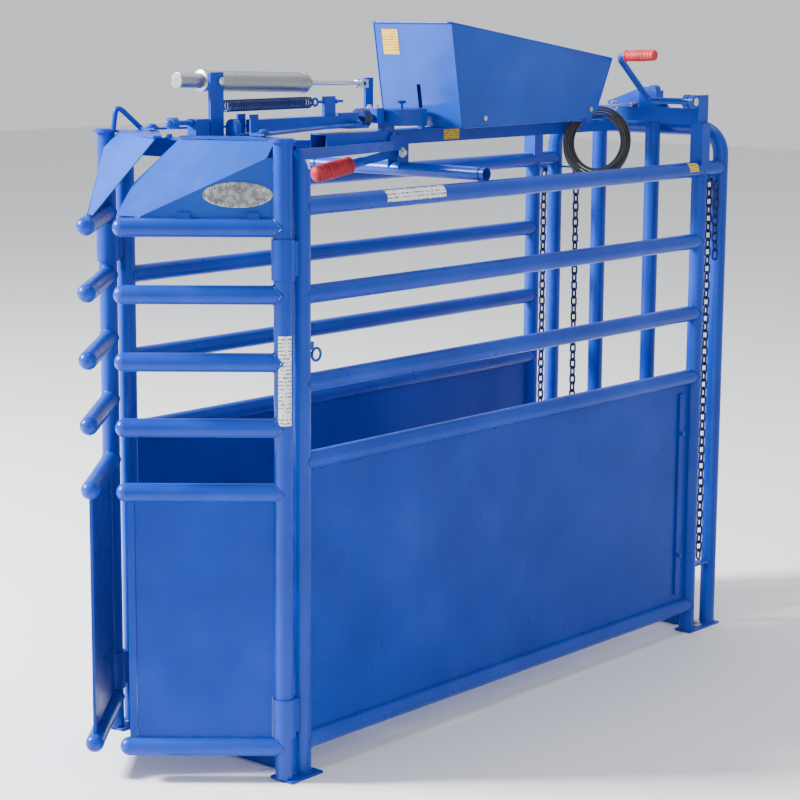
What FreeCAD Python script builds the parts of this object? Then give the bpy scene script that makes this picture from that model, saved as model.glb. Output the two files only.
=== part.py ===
"""Cattle handling chute: welded pipe frame, V-shaped front gates with an overhead
spring slide and damper, a folded cover over the latch, and a rear stanchion gate.

Frame: X = 0 halfway between the two sides (+X is the side with the levers), Y = 0 at the
front frame posts, +Y to the rear, Z = 0 on the floor. Millimetres."""
import FreeCAD
import Part
import math
import os
import re

from FreeCAD import Placement, Rotation, Vector

SIZES = {
    # pipework
    "pipe_radius": 30.15, "pipe_wall": 3.2, "light_pipe_radius": 24.15,
    "weld_gap": 0.15, "run_gap": 0.06,
    # plan
    "half_width": 402.0, "hinge_setback": 83.0, "rear_post_y": 2271.0, "arch_y": 2421.0,
    # rails, from the top
    "top_rail_z": 1851.0, "second_rail_z": 1572.0, "third_rail_z": 1290.0,
    "panel_rail_z": 1038.0, "bottom_rail_z": 111.0,
    "arch_top_z": 2000.0, "arch_bend": 100.0, "front_post_top": 2030.0,
    # feet
    "foot_thick": 8.0, "front_foot_x": 95.0, "front_foot_y": 150.0,
    "rear_foot_x": 74.0, "rear_foot_y": 213.0,
    # front gates
    "gate_length": 530.0, "near_angle": 41.0, "far_angle": 50.0, "gate_travel": 50.0,
    "rung_top": 1790.0, "rung_b": 1580.0, "rung_c": 1367.0, "rung_d": 1158.0,
    "rung_e": 950.0, "rung_low": 113.0, "gate_post_top": 2053.8,
    "gate_plate_z": 2054.0, "gate_plate_thick": 8.0, "sheet_thick": 3.0,
    "crank_radius": 165.0, "crank_pin_radius": 9.0,
    "collar_radius": 37.0, "collar_wall": 6.2, "collar_height": 128.0,
    "upper_collar_z": 1627.0, "lower_collar_z": 147.0,
    # overhead slide
    "header_x": 398.0, "header_top": 2040.0, "deck_thick": 6.0,
    "bar_half": 25.0, "bar_low": 2056.0, "bar_high": 2100.0, "bar_front": 194.0, "bar_rear": 606.0,
    "drum_radius": 98.0, "rod_z": 2086.0, "rod_radius": 12.5, "rod_rear": 1240.0, "lever_tilt": 7.5,
    "link_z": 2066.0, "link_thick": 7.0,
    "pivot_y": 36.0, "pivot_z": 2228.0, "damper_x": -34.0, "damper_tilt": 1.912,
    "damper_radius": 34.0, "damper_rod_radius": 9.0, "spring_radius": 20.5, "spring_z": 2148.0,
    # centre beam and cover
    "beam_half": 38.0, "beam_low": 1990.0, "beam_high": 2040.0, "beam_front": 520.0,
    "cross_tube_y": 935.0, "cross_tube_z": 1902.0,
    "cover_half": 180.0, "cover_sheet": 2.5,
    # rear gate
    "tail_bar_x": 128.0, "tail_bar_y": 2351.0, "tail_bar_low": 58.0, "tail_bar_top": 2032.0,
    "tail_pivot_z": 78.0, "tail_sill_top": 52.0, "tail_lever_y": 2215.0, "tail_lever_z": 2112.0,
    "tail_lever_radius": 12.5, "head_x": 391.0, "head_thick": 22.0, "sleeve_top": 2029.8,
    # chains and rope
    "chain_wire": 4.0, "link_pitch": 33.0, "link_half": 11.0, "chain_top": 1812.0,
    "rope_radius": 4.0, "coil_radius": 122.0, "coil_thick": 20.0,
    "coil_x": 125.0, "coil_y": 1976.0, "coil_z": 1955.0, "coil_turn": 31.5,
}

DOC = FreeCAD.newDocument("Chute")
SHEET = DOC.addObject("Spreadsheet::Sheet", "sizes")
for row, (alias, number) in enumerate(SIZES.items(), start=1):
    SHEET.set(f"A{row}", alias)
    SHEET.set(f"B{row}", str(number))
    SHEET.setAlias(f"B{row}", alias)
DOC.recompute()

X_AXIS, Y_AXIS, Z_AXIS = Vector(1, 0, 0), Vector(0, 1, 0), Vector(0, 0, 1)
NODES = {}


def size(alias):
    """A driving dimension, as the sheet holds it."""
    return float(SHEET.get(alias))


def bind(thing, prop, rule):
    """Set a property to a number, or bind it to a rule written with the sheet's aliases."""
    if isinstance(rule, (int, float)):
        rule = str(rule)
    word = re.compile(r"[A-Za-z_]+")
    linked = word.sub(lambda m: f"sizes.{m.group(0)}" if m.group(0) in SIZES else m.group(0), rule)
    thing.setExpression(prop, linked)


def place(thing, spot, turn=None):
    """Put a thing at spot, three numbers or rules, with an optional rotation."""
    thing.Placement = Placement(Vector(0, 0, 0), turn or Rotation())
    for letter, rule in zip("xyz", spot):
        bind(thing, f"Placement.Base.{letter}", rule)
    return thing


def new(kind, name):
    return DOC.addObject(kind, name)


def toward(direction):
    """The rotation that takes +Z to a direction."""
    return Rotation(Z_AXIS, Vector(direction))


def box(name, spot, length, width, height, turn=None):
    thing = new("Part::Box", name)
    for prop, rule in (("Length", length), ("Width", width), ("Height", height)):
        bind(thing, prop, rule)
    return place(thing, spot, turn)


def rod(name, spot, radius, height, direction=Z_AXIS):
    thing = new("Part::Cylinder", name)
    bind(thing, "Radius", radius)
    bind(thing, "Height", height)
    return place(thing, spot, toward(direction))


def ball(name, spot, radius):
    thing = new("Part::Sphere", name)
    bind(thing, "Radius", radius)
    return place(thing, spot)


def ring(name, spot, big, small, direction=Z_AXIS, angle=360, turn=None):
    thing = new("Part::Torus", name)
    bind(thing, "Radius1", big)
    bind(thing, "Radius2", small)
    bind(thing, "Angle3", angle)
    return place(thing, spot, turn or toward(direction))


def fuse(name, *things):
    thing = new("Part::MultiFuse", name)
    thing.Shapes = list(things)
    return thing


def cut(name, base, *tools):
    thing = new("Part::Cut", name)
    thing.Base = base
    thing.Tool = tools[0] if len(tools) == 1 else fuse(name + "_tools", *tools)
    return thing


def group(name, *things):
    """Several separate solids in one node."""
    thing = new("Part::Compound", name)
    thing.Links = list(things)
    return thing


def plate(name, outline, thickness, spot, turn=None):
    """A flat plate: a PartDesign body with the outline on its XY plane, padded by thickness."""
    body = new("PartDesign::Body", name)
    sketch = body.newObject("Sketcher::SketchObject", name + "_outline")
    ground = [f for f in body.Origin.OriginFeatures if f.Role == "XY_Plane"][0]
    sketch.AttachmentSupport = (ground, [""])
    sketch.MapMode = "FlatFace"
    corners = [Vector(u, v, 0) for u, v in outline]
    for start, end in zip(corners, corners[1:] + corners[:1]):
        sketch.addGeometry(Part.LineSegment(start, end), False)
    pad = body.newObject("PartDesign::Pad", name + "_pad")
    pad.Profile = sketch
    bind(pad, "Length", thickness)
    body.Tip = pad
    return place(body, spot, turn)


# rotations that stand a plate's XY outline up
STAND_XZ = Rotation(X_AXIS, 90)                          # outline (X, Z), thickness to -Y
STAND_YZ = Rotation(Vector(1, 1, 1), 120)                # outline (Y, Z), thickness to +X


def pipe(name, spot, length, direction=Z_AXIS, copes=(), radius="pipe_radius"):
    """A round tube with its ends coped to the pipes that it is welded to."""
    outer = rod(name + "_outer", spot, radius, length, direction)
    bore = rod(name + "_bore", spot, f"{radius} - pipe_wall", length, direction)
    return cut(name, outer, bore, *copes)


def cope(name, spot, length, direction=Z_AXIS, radius="pipe_radius", gap="weld_gap"):
    """The cutter that copes a pipe to another pipe: that pipe's outside and a weld gap."""
    return rod(name, spot, f"{radius} + {gap}", length, direction)


def square_tube(name, spot, length, width, height, wall, along):
    """A rectangular tube, open at both ends; along is the letter of its long axis."""
    outer = box(name + "_outer", spot, length, width, height)
    inset = [f"{s} + {wall}" for s in spot]
    inner = [f"{n} - 2 * {wall}" for n in (length, width, height)]
    which = "xyz".index(along)
    inset[which] = f"{spot[which]} - 1"
    inner[which] = f"{(length, width, height)[which]} + 2"
    hollow = box(name + "_hollow", inset, *inner)
    return cut(name, outer, hollow)


def hex_head(name, spot, across, height, direction=Z_AXIS):
    """A hexagon bolt head or nut."""
    thing = new("Part::Prism", name)
    thing.Polygon = 6
    bind(thing, "Circumradius", f"{across} / 1.732")
    bind(thing, "Height", height)
    return place(thing, spot, toward(direction))


def node(name, thing):
    """Name a finished sub-part."""
    thing.Label = name
    NODES[name] = thing
    return thing


SIDES = {"near": 1, "far": -1}


def foot_plates():
    plates = []
    for side, sign in SIDES.items():
        middle = f"{sign} * half_width"
        plates.append(box(f"{side}_front_foot", (f"{middle} - front_foot_x / 2", "-100", 0),
                          "front_foot_x", "front_foot_y", "foot_thick"))
        slab = box(f"{side}_rear_slab", (f"{middle} - rear_foot_x / 2", "rear_post_y - 26", 0),
                   "rear_foot_x", "rear_foot_y", "foot_thick")
        hole = rod(f"{side}_anchor_hole", (middle, "(rear_post_y + arch_y) / 2", -1), 8, 12)
        plates.append(cut(f"{side}_rear_foot", slab, hole))
    node("foot_plates", group("foot_plates_group", *plates))
    sill = square_tube("sill", ("-half_width + front_foot_x / 2", "-20", 0),
                       "2 * half_width - front_foot_x", 40, 40, 3, "x")
    node("front_sill", sill)


def posts():
    fronts, rears = [], []
    for side, sign in SIDES.items():
        middle = f"{sign} * half_width"
        straight = pipe(f"{side}_front_tube", (middle, 0, "foot_thick"), "front_post_top - foot_thick")
        bevel = box(f"{side}_bevel", (f"{middle} - 60", "-25", "front_post_top"), 120, 160, 160,
                    Rotation(X_AXIS, -66))
        fronts.append(cut(f"{side}_front_post", straight, bevel))
        rail = cope(f"{side}_rail_cutter", (middle, "rear_post_y - 60", "top_rail_z"), 120, Y_AXIS)
        rears.append(pipe(f"{side}_rear_post", (middle, "rear_post_y", "foot_thick"),
                          "top_rail_z - foot_thick", copes=(rail,)))
    node("front_posts", group("front_posts_group", *fronts))
    node("rear_posts", group("rear_posts_group", *rears))


def rear_arch():
    """Upside-down U of one bent pipe behind the rear posts."""
    def bent(name, radius):
        parts = []
        for side, sign in SIDES.items():
            middle = f"{sign} * half_width"
            parts.append(rod(f"{name}_{side}_leg", (middle, "arch_y", "foot_thick"), radius,
                             "arch_top_z - arch_bend - foot_thick"))
            start = Rotation(Z_AXIS, 0) if sign > 0 else Rotation(Z_AXIS, 90)
            parts.append(ring(f"{name}_{side}_bend",
                              (f"{middle} - {sign} * arch_bend", "arch_y", "arch_top_z - arch_bend"),
                              "arch_bend", radius, angle=90, turn=Rotation(X_AXIS, 90) * start))
        parts.append(rod(f"{name}_top", ("-half_width + arch_bend", "arch_y", "arch_top_z"), radius,
                         "2 * (half_width - arch_bend)", X_AXIS))
        return fuse(name, *parts)
    node("rear_arch", cut("arch", bent("arch_outer", "pipe_radius"),
                          bent("arch_inner", "pipe_radius - pipe_wall")))


def side_rails(side, sign):
    middle = f"{sign} * half_width"
    front = cope(f"{side}_front_cope", (middle, 0, 0), 2100)
    rear = cope(f"{side}_rear_cope", (middle, "rear_post_y", 0), 2100)
    arch = cope(f"{side}_arch_cope", (middle, "arch_y", 0), 2100)
    rails = []
    for name, height in (("top", "top_rail_z"), ("second", "second_rail_z"), ("third", "third_rail_z"),
                         ("panel", "panel_rail_z"), ("bottom", "bottom_rail_z")):
        far_end = "arch_y" if name == "top" else "rear_post_y"
        copes = (front, arch) if name == "top" else (front, rear)
        rails.append(pipe(f"{side}_{name}_rail", (middle, 0, height), far_end, Y_AXIS, copes))
    node(f"{side}_rails", group(f"{side}_rails_group", *rails))
    sheet_low = "bottom_rail_z + pipe_radius + weld_gap"
    sheet = box(f"{side}_sheet", (f"{middle} - sheet_thick / 2", "pipe_radius + 1", sheet_low),
                "sheet_thick", "rear_post_y - 2 * pipe_radius - 2",
                "panel_rail_z - bottom_rail_z - 2 * pipe_radius - 2 * weld_gap")
    stile = box(f"{side}_stile", (f"{middle} + {sign} * (sheet_thick / 2 + 4 + weld_gap) - 4",
                                  "rear_post_y - 104", "bottom_rail_z + 60"),
                8, 30, "panel_rail_z - bottom_rail_z - 120")
    node(f"{side}_panel", group(f"{side}_panel_group", sheet, stile))


def hinge_collars():
    """Fixed bushes round the gate posts, each welded to the frame post behind it."""
    collars = []
    for side, sign in SIDES.items():
        middle = f"{sign} * half_width"
        for level in ("upper_collar_z", "lower_collar_z"):
            name = f"{side}_{level[:5]}_collar"
            bush = rod(name + "_bush", (middle, "-hinge_setback", level), "collar_radius", "collar_height")
            web = box(name + "_web", (f"{middle} - 16", "-hinge_setback", f"{level} + 8"), 32,
                      "hinge_setback", "collar_height - 16")
            bore = rod(name + "_bore", (middle, "-hinge_setback", f"{level} - 1"),
                       "pipe_radius + run_gap", "collar_height + 2")
            post = cope(name + "_cope", (middle, 0, f"{level} - 1"), "collar_height + 2")
            collars.append(cut(name, fuse(name + "_solid", bush, web), bore, post))
    node("hinge_collars", group("hinge_collars_group", *collars))


def gate_point(side, along, back, height):
    """A point of a gate: along the gate from its hinge, back towards the animal, and up."""
    sign = SIDES[side]
    angle = math.radians(size(f"{side}_angle"))
    x = sign * (size("half_width") - along * math.cos(angle) - back * math.sin(angle))
    y = -size("hinge_setback") - along * math.sin(angle) + back * math.cos(angle)
    return Vector(x, y, height)


def crank_pin(side):
    """Where the gate's link pin stands: a quarter turn from the slide, half the travel early."""
    early = math.radians(size("gate_travel") / 2)
    reach = size("crank_radius")
    return Vector(SIDES[side] * (size("half_width") - reach * math.cos(early)),
                  -size("hinge_setback") + reach * math.sin(early), 0)


def flat_piece(corners, thickness):
    """A plane sheet through given corners, thickened along its own normal."""
    face = Part.Face(Part.makePolygon(corners + corners[:1]))
    normal = face.normalAt(0, 0)
    face.translate(normal * (-thickness / 2))
    return face.extrude(normal * thickness)


def gate(side, sign):
    angle = size(f"{side}_angle")
    along = Vector(-sign * math.cos(math.radians(angle)), -math.sin(math.radians(angle)), 0)
    hinge = (f"{sign} * half_width", "-hinge_setback")
    node(f"{side}_gate_post", pipe(f"{side}_hinge_tube", (*hinge, "foot_thick + 1"),
                                   "gate_post_top - foot_thick - 1"))
    post = cope(f"{side}_hinge_cope", (*hinge, 0), 2100)
    rungs = []
    for level in ("rung_top", "rung_b", "rung_c", "rung_d", "rung_e", "rung_low"):
        name = f"{side}_{level}"
        tube = rod(name + "_tube", (*hinge, level), "pipe_radius", "gate_length - pipe_radius", along)
        tip = gate_point(side, size("gate_length") - size("pipe_radius"), 0, size(level))
        dome = ball(name + "_dome", (tip.x, tip.y, level), "pipe_radius")
        hollow = rod(name + "_hollow", (*hinge, level), "pipe_radius - pipe_wall",
                     "gate_length - 1.2 * pipe_radius", along)
        rungs.append(cut(name, fuse(name + "_solid", tube, dome), hollow, post))
    node(f"{side}_gate_rungs", group(f"{side}_gate_rungs_group", *rungs))
    turn = Rotation(X_AXIS, along)
    low, high = "rung_low + pipe_radius + weld_gap", "rung_e - rung_low - 2 * pipe_radius - 2 * weld_gap"
    spot = gate_point(side, size("pipe_radius") - 2, 0, 0) - turn.multVec(Vector(0, 1.5, 0))
    blank = box(f"{side}_gate_blank", (spot.x, spot.y, low), 444, "sheet_thick", high, turn)
    relief = rod(f"{side}_collar_relief", (*hinge, 0), "collar_radius + 3",
                 "lower_collar_z + collar_height + 4")
    sheet = cut(f"{side}_gate_sheet", blank, post, relief)
    spot = gate_point(side, size("pipe_radius") + 443, 0, 0) - turn.multVec(Vector(0, 5, 0))
    edge = box(f"{side}_gate_edge", (spot.x, spot.y, low), 24, 10, high, turn)
    node(f"{side}_gate_panel", group(f"{side}_gate_panel_group", sheet, edge))
    gate_wing(side)
    gate_plate(side)


def gate_wing(side):
    """The guard sheet above the top rung: an upright triangle and a roof leaning back from it."""
    rung = size("rung_top") + size("pipe_radius") + 0.6
    roof_top = size("gate_plate_z") - 2.5
    tip = {"near": [(520, 42, rung + 1.2), (474, 124, 1915)], "far": [(482, 20, rung + 1.2)]}
    upright = [(28, 0, rung), (445, 0, rung), (47, 0, 2005), (28, 0, 2005)]
    roof = [(48.5, 1.6, 2006), (446, 1.6, rung + 1.2), *tip[side], (334, 202, roof_top), (26, 43, roof_top)]
    spots = [gate_point(side, *corner) for corner in roof]
    normal = (spots[1] - spots[0]).cross(spots[-2] - spots[0])
    normal.normalize()
    flattened = [spot - normal * (spot - spots[0]).dot(normal) for spot in spots]
    pieces = [flat_piece([gate_point(side, *corner) for corner in upright], size("sheet_thick")),
              flat_piece(flattened, size("sheet_thick"))]
    post = Part.makeCylinder(size("pipe_radius") + 0.3, 2200, Vector(gate_point(side, 0, 0, 0)))
    wing = new("Part::Feature", f"{side}_wing")
    wing.Shape = Part.makeCompound([pieces[0].cut(post), pieces[1].cut(post).cut(pieces[0])])
    node(f"{side}_gate_wing", wing)


def gate_plate(side):
    """The flat plate on top of the gate post, out to the middle, with the pin for the link."""
    low, thick = size("gate_plate_z"), size("gate_plate_thick")
    pin = crank_pin(side)
    hinge = gate_point(side, 0, 0, low)
    sign = SIDES[side]
    front = [gate_point(side, 20, 38, low), gate_point(side, 336, 196, low), gate_point(side, 326, 222, low)]
    outline = [hinge + Vector(sign * 10, -40, 0), *front,
               Vector(pin.x - sign * 24, pin.y + 8, low), Vector(pin.x, pin.y + 24, low),
               hinge + Vector(0, 42, 0)]
    slab = Part.Face(Part.makePolygon(outline + outline[:1])).extrude(Vector(0, 0, thick))
    slab = slab.fuse(Part.makeCylinder(42, thick, hinge))
    slab = slab.fuse(Part.makeCylinder(24, thick, Vector(pin.x, pin.y, low)))
    slab = slab.fuse(Part.makeCylinder(size("crank_pin_radius"), 30, Vector(pin.x, pin.y, low)))
    thing = new("Part::Feature", f"{side}_plate")
    thing.Shape = slab.removeSplitter()
    node(f"{side}_gate_plate", thing)


def header():
    tube = square_tube("header_tube", ("-header_x", "-30", 1980), "2 * header_x", 40,
                       "header_top - 1980", 3, "x")
    trims = [cope(f"header_{side}_trim", (f"{sign} * half_width", 0, 1900), 200)
             for side, sign in SIDES.items()]
    node("front_header", cut("header", tube, *trims))
    deck = box("deck", (-140, -90, "header_top"), 225, 290, "deck_thick")
    pad = box("deck_pad", (-20, 60, "header_top + deck_thick"), 40, 130,
              "bar_low - header_top - deck_thick - 0.4")
    node("header_deck", fuse("header_deck_solid", deck, pad))
    top = "header_top + deck_thick"
    guides = [box(f"{side}_guide", (f"{sign} * (bar_half + 4.4) - 4", 157, top), 8, 36, 72)
              for side, sign in SIDES.items()]
    lug = fuse("roller_lug", box("roller_leg", (33, 40, top), 50, 20, 38),
               rod("roller_round", (58, 40, f"{top} + 38"), 25, 20, Y_AXIS))
    stop = box("stop_block", (-20, -80, top), 40, 62, 64)
    stop_bore = rod("stop_bore", (0, -81, 2100), "8 + run_gap", 64, Y_AXIS)
    node("gate_guides", group("gate_guides_group", *guides, lug, cut("stop_bored", stop, stop_bore)))
    upright = box("upright_bar", (6, -11, top), 12, 59, "2257 - header_top - deck_thick")
    trunnion = rod("upright_pin", ("damper_x + damper_radius - 11", "pivot_y", "pivot_z"), 8, 32, X_AXIS)
    node("damper_upright", fuse("upright", upright, trunnion))


def adjuster():
    screw = rod("adjuster_screw", (0, -150, 2100), 8, 120, Y_AXIS)
    grip = rod("adjuster_grip", (0, -178, 2100), 19, 28, Y_AXIS)
    nose = ball("adjuster_nose", (0, -178, 2100), 14)
    nut = hex_head("adjuster_nut", (0, -94, 2100), 24, 12, Y_AXIS)
    node("adjuster_knob", fuse("adjuster", screw, grip, nose, nut))


def centre_beam():
    node("center_beam", square_tube("beam", ("-beam_half", "beam_front", "beam_low"), "2 * beam_half",
                                    "rear_post_y - 26 - beam_front", "beam_high - beam_low", 4, "y"))
    rails = [cope(f"cross_{side}_cope", (f"{sign} * half_width", "cross_tube_y - 60", "top_rail_z"),
                  120, Y_AXIS) for side, sign in SIDES.items()]
    node("front_cross_tube", pipe("cross_tube", ("-half_width", "cross_tube_y", "cross_tube_z"),
                                  "2 * half_width", X_AXIS, rails, "light_pipe_radius"))
    stub = square_tube("stub", (-25, "cross_tube_y - 27", "cross_tube_z"), 55, 53,
                       "beam_low - cross_tube_z - weld_gap", 5, "y")
    saddle = cope("stub_saddle", (-40, "cross_tube_y", "cross_tube_z"), 90, X_AXIS, "light_pipe_radius")
    pin = rod("stub_pin", (-25, 925, 1960), 6, 55, X_AXIS)
    node("beam_post", fuse("beam_post_with_pin", cut("beam_post_solid", stub, saddle), pin))
    braces = []
    for side, sign in SIDES.items():
        start = Vector(sign * 350, 10.2, 1989)
        end = Vector(sign * (size("beam_half") + 6), 872, 1970)
        run = end - start
        bar = box(f"{side}_brace_bar", (start.x, start.y, start.z), run.Length, 8, 34,
                  Rotation(X_AXIS, run))
        square = box(f"{side}_brace_trim", ("-header_x - 40", -60, 1900), "2 * header_x + 80", "70.2", 200)
        beside = box(f"{side}_brace_beam", ("-beam_half - 0.2", 500, 1900), "2 * beam_half + 0.4", 600, 200)
        lug = box(f"{side}_brace_lug", (f"{sign} * (beam_half + 5.3) - 5", 840, 1970), 10, 60, 54)
        bolt = hex_head(f"{side}_brace_bolt", (end.x, end.y - 12, 2022), 19, 12)
        braces.append(cut(f"{side}_brace", fuse(f"{side}_brace_solid", bar, lug, bolt), square, beside))
    node("beam_braces", group("beam_braces_group", *braces))


def gate_slide():
    bar = square_tube("bar", ("-bar_half", "bar_front", "bar_low"), "2 * bar_half", "bar_rear - bar_front",
                      "bar_high - bar_low", 3, "y")
    node("slide_bar", bar)
    cross = box("cross_plate", (-66, "bar_rear + 0.2", "bar_low"), 132, 100, "link_z - bar_low - 0.5")
    boss = box("cross_boss", (-22, "bar_rear + 0.2", "bar_low"), 44, 96, 52)
    pins = [rod(f"{side}_cross_pin", (f"{sign} * 44", 670, "bar_low"), 9, 26)
            for side, sign in SIDES.items()]
    node("crosshead", fuse("crosshead_solid", cross, boss, *pins))
    straps = [gate_link(side, sign) for side, sign in SIDES.items()]
    node("gate_links", group("gate_links_group", *straps))
    shaft = rod("shaft", (0, "bar_rear + 96.4", "rod_z"), "rod_radius", "rod_rear - bar_rear - 96.4",
                Y_AXIS)
    buffer_disc = rod("buffer_disc", (0, 722, "rod_z"), 34, 14, Y_AXIS)
    collar = rod("buffer_collar", (0, 744, "rod_z"), 33, 18, Y_AXIS)
    striker = box("striker", (-18, "rod_rear - 30", "rod_z - 14"), 36, 30, 28)
    node("slide_rod", fuse("slide_rod_solid", shaft, buffer_disc, collar, striker))
    tab = cut("spring_tab", box("spring_tab_bar", (0, 538, "bar_high + 0.2"), 12, 56, 66),
              rod("tab_hole", (6, 530, "spring_z"), 5.2, 80, Y_AXIS))
    eye = fuse("eyebolt", ring("eyebolt_eye", (6, 497, "spring_z"), 12, 4.5, X_AXIS),
               rod("eyebolt_shank", (6, 509, "spring_z"), 5, 125, Y_AXIS),
               hex_head("eyebolt_nut", (6, 594.4, "spring_z"), 16, 9, Y_AXIS))
    clevis = fuse("damper_lug_solid",
                  box("lug_foot", ("damper_x - 22", 800, "rod_z - 20"), "20 - damper_x + 22", 40, 52),
                  box("lug_plate", ("damper_x - 22", 816, "rod_z + 20"), 10, 40, 116),
                  rod("lug_pin", ("damper_x - 22", 785, 2203), 6, 36, X_AXIS),
                  box("lug_ear", ("damper_x - 22", 770, 2188), 10, 80, 30))
    hole = rod("lug_hole", (0, 799, "rod_z"), "rod_radius + 0.1", 42, Y_AXIS)
    node("slide_lugs", group("slide_lugs_group", tab, eye, cut("damper_lug", clevis, hole)))


def gate_link(side, sign):
    """A flat strap from the crosshead pin to the gate's pin, slotted at the gate end."""
    pin = crank_pin(side)
    front = Vector(pin.x - sign * 4, pin.y, size("link_z"))
    rear = Vector(sign * 44, 670, size("link_z"))
    run = rear - front
    across = run.cross(Z_AXIS)
    across.normalize()
    thick = size("link_thick")
    corners = [front + across * 30, rear + across * 19, rear - across * 19, front - across * 30]
    slab = Part.Face(Part.makePolygon(corners + corners[:1])).extrude(Vector(0, 0, thick))
    slab = slab.fuse(Part.makeCylinder(19, thick, rear))
    ends = [front + Vector(x, y, 0) for x, y in ((-32, -26), (32, -26), (32, 12), (-32, 12))]
    slab = slab.fuse(Part.Face(Part.makePolygon(ends + ends[:1])).extrude(Vector(0, 0, thick)))
    reach = size("crank_pin_radius") + 2.5
    slot = [front + Vector(-12, -reach, 0), front + Vector(12, -reach, 0),
            front + Vector(12, reach, 0), front + Vector(-12, reach, 0)]
    slot = Part.Face(Part.makePolygon(slot + slot[:1])).extrude(Vector(0, 0, thick))
    for end in (-12, 12):
        slot = slot.fuse(Part.makeCylinder(reach, thick, front + Vector(end, 0, 0)))
    slab = slab.cut(slot).cut(Part.makeCylinder(9.2, thick, rear))
    thing = new("Part::Feature", f"{side}_link")
    thing.Shape = slab.removeSplitter()
    return thing


def spring_and_damper():
    coil = cut("spring_coil", rod("spring_outer", (6, 62, "spring_z"), "spring_radius", 404, Y_AXIS),
               rod("spring_bore", (6, 60, "spring_z"), "spring_radius - 6", 408, Y_AXIS))
    tail = rod("spring_tail", (6, 460, "spring_z - 17"), 3, 26, Y_AXIS)
    lead = rod("spring_lead", (12, 48.2, "spring_z + 15.9"), 3, 20, Y_AXIS)
    node("gate_spring", fuse("spring", coil, tail, lead))
    tilt = math.radians(size("damper_tilt"))
    line = Vector(0, math.cos(tilt), -math.sin(tilt))
    pivot = Vector(size("damper_x"), size("pivot_y"), size("pivot_z"))

    def on_line(distance):
        spot = pivot + line * distance
        return (spot.x, spot.y, spot.z)
    body = rod("damper_barrel", on_line(-40), "damper_radius", 488, line)
    nose = rod("damper_nose", on_line(-150), 24, 110, line)
    shoulder = new("Part::Cone", "damper_shoulder")
    bind(shoulder, "Radius1", "damper_radius")
    bind(shoulder, "Radius2", 20)
    bind(shoulder, "Height", 22)
    place(shoulder, on_line(448), toward(line))
    bore = rod("damper_bore", on_line(150), "damper_rod_radius + run_gap", 330, line)
    seat = rod("damper_seat", ("damper_x + damper_radius - 12", "pivot_y", "pivot_z"), "8 + run_gap",
               20, X_AXIS)
    node("damper_body", cut("damper", fuse("damper_solid", body, nose, shoulder), bore, seat))
    shaft = rod("damper_shaft", on_line(300), "damper_rod_radius", 439, line)
    eye = box("damper_eye", ("damper_x - 8", on_line(734)[1], 2189), 20, 34, 28)
    eye_hole = rod("damper_eye_hole", ("damper_x - 20", 785, 2203), 8, 50, X_AXIS)
    node("damper_rod", cut("damper_rod_solid", fuse("damper_rod_body", shaft, eye), eye_hole))


def latch_yoke():
    """The half drum and the guide bush in front of the cover, on top of the beam."""
    centre = (0, 945)
    outer = rod("band_outer", (*centre, 2056), "drum_radius", 52)
    inner = rod("band_inner", (*centre, 2055), "drum_radius - 6", 54)
    away = box("band_away", ("-drum_radius - 10", 800, 2050), "drum_radius + 28", 300, 80)
    band = cut("band", outer, inner, away)
    lid = cut("band_lid", rod("lid_round", (*centre, 2107), "drum_radius", 6),
              box("lid_away", ("-drum_radius - 10", 800, 2050), "drum_radius - 40", 300, 80))
    feet = [box(f"band_foot_{n}", (18, y, "beam_high + 0.1"), 20, 18, 70) for n, y in enumerate((848, 1024))]
    bush = cut("rod_bush", box("bush_block", (-30, 862, "beam_high + 0.1"), 66, 14, 70),
               rod("bush_bore", (0, 860, "rod_z"), "rod_radius + run_gap", 20, Y_AXIS))
    stem = rod("yoke_stem", (10, 945, 2112), 5, 24)
    bar = rod("yoke_bar", (10, 927, 2136), 5, 36, Y_AXIS)
    node("latch_yoke", fuse("yoke", band, lid, *feet, bush, stem, bar))


COVER_SIDE = [(1010, 2414), (1985, 2277), (1886, 2076), (1800, 2050), (1074, 2046)]


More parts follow.
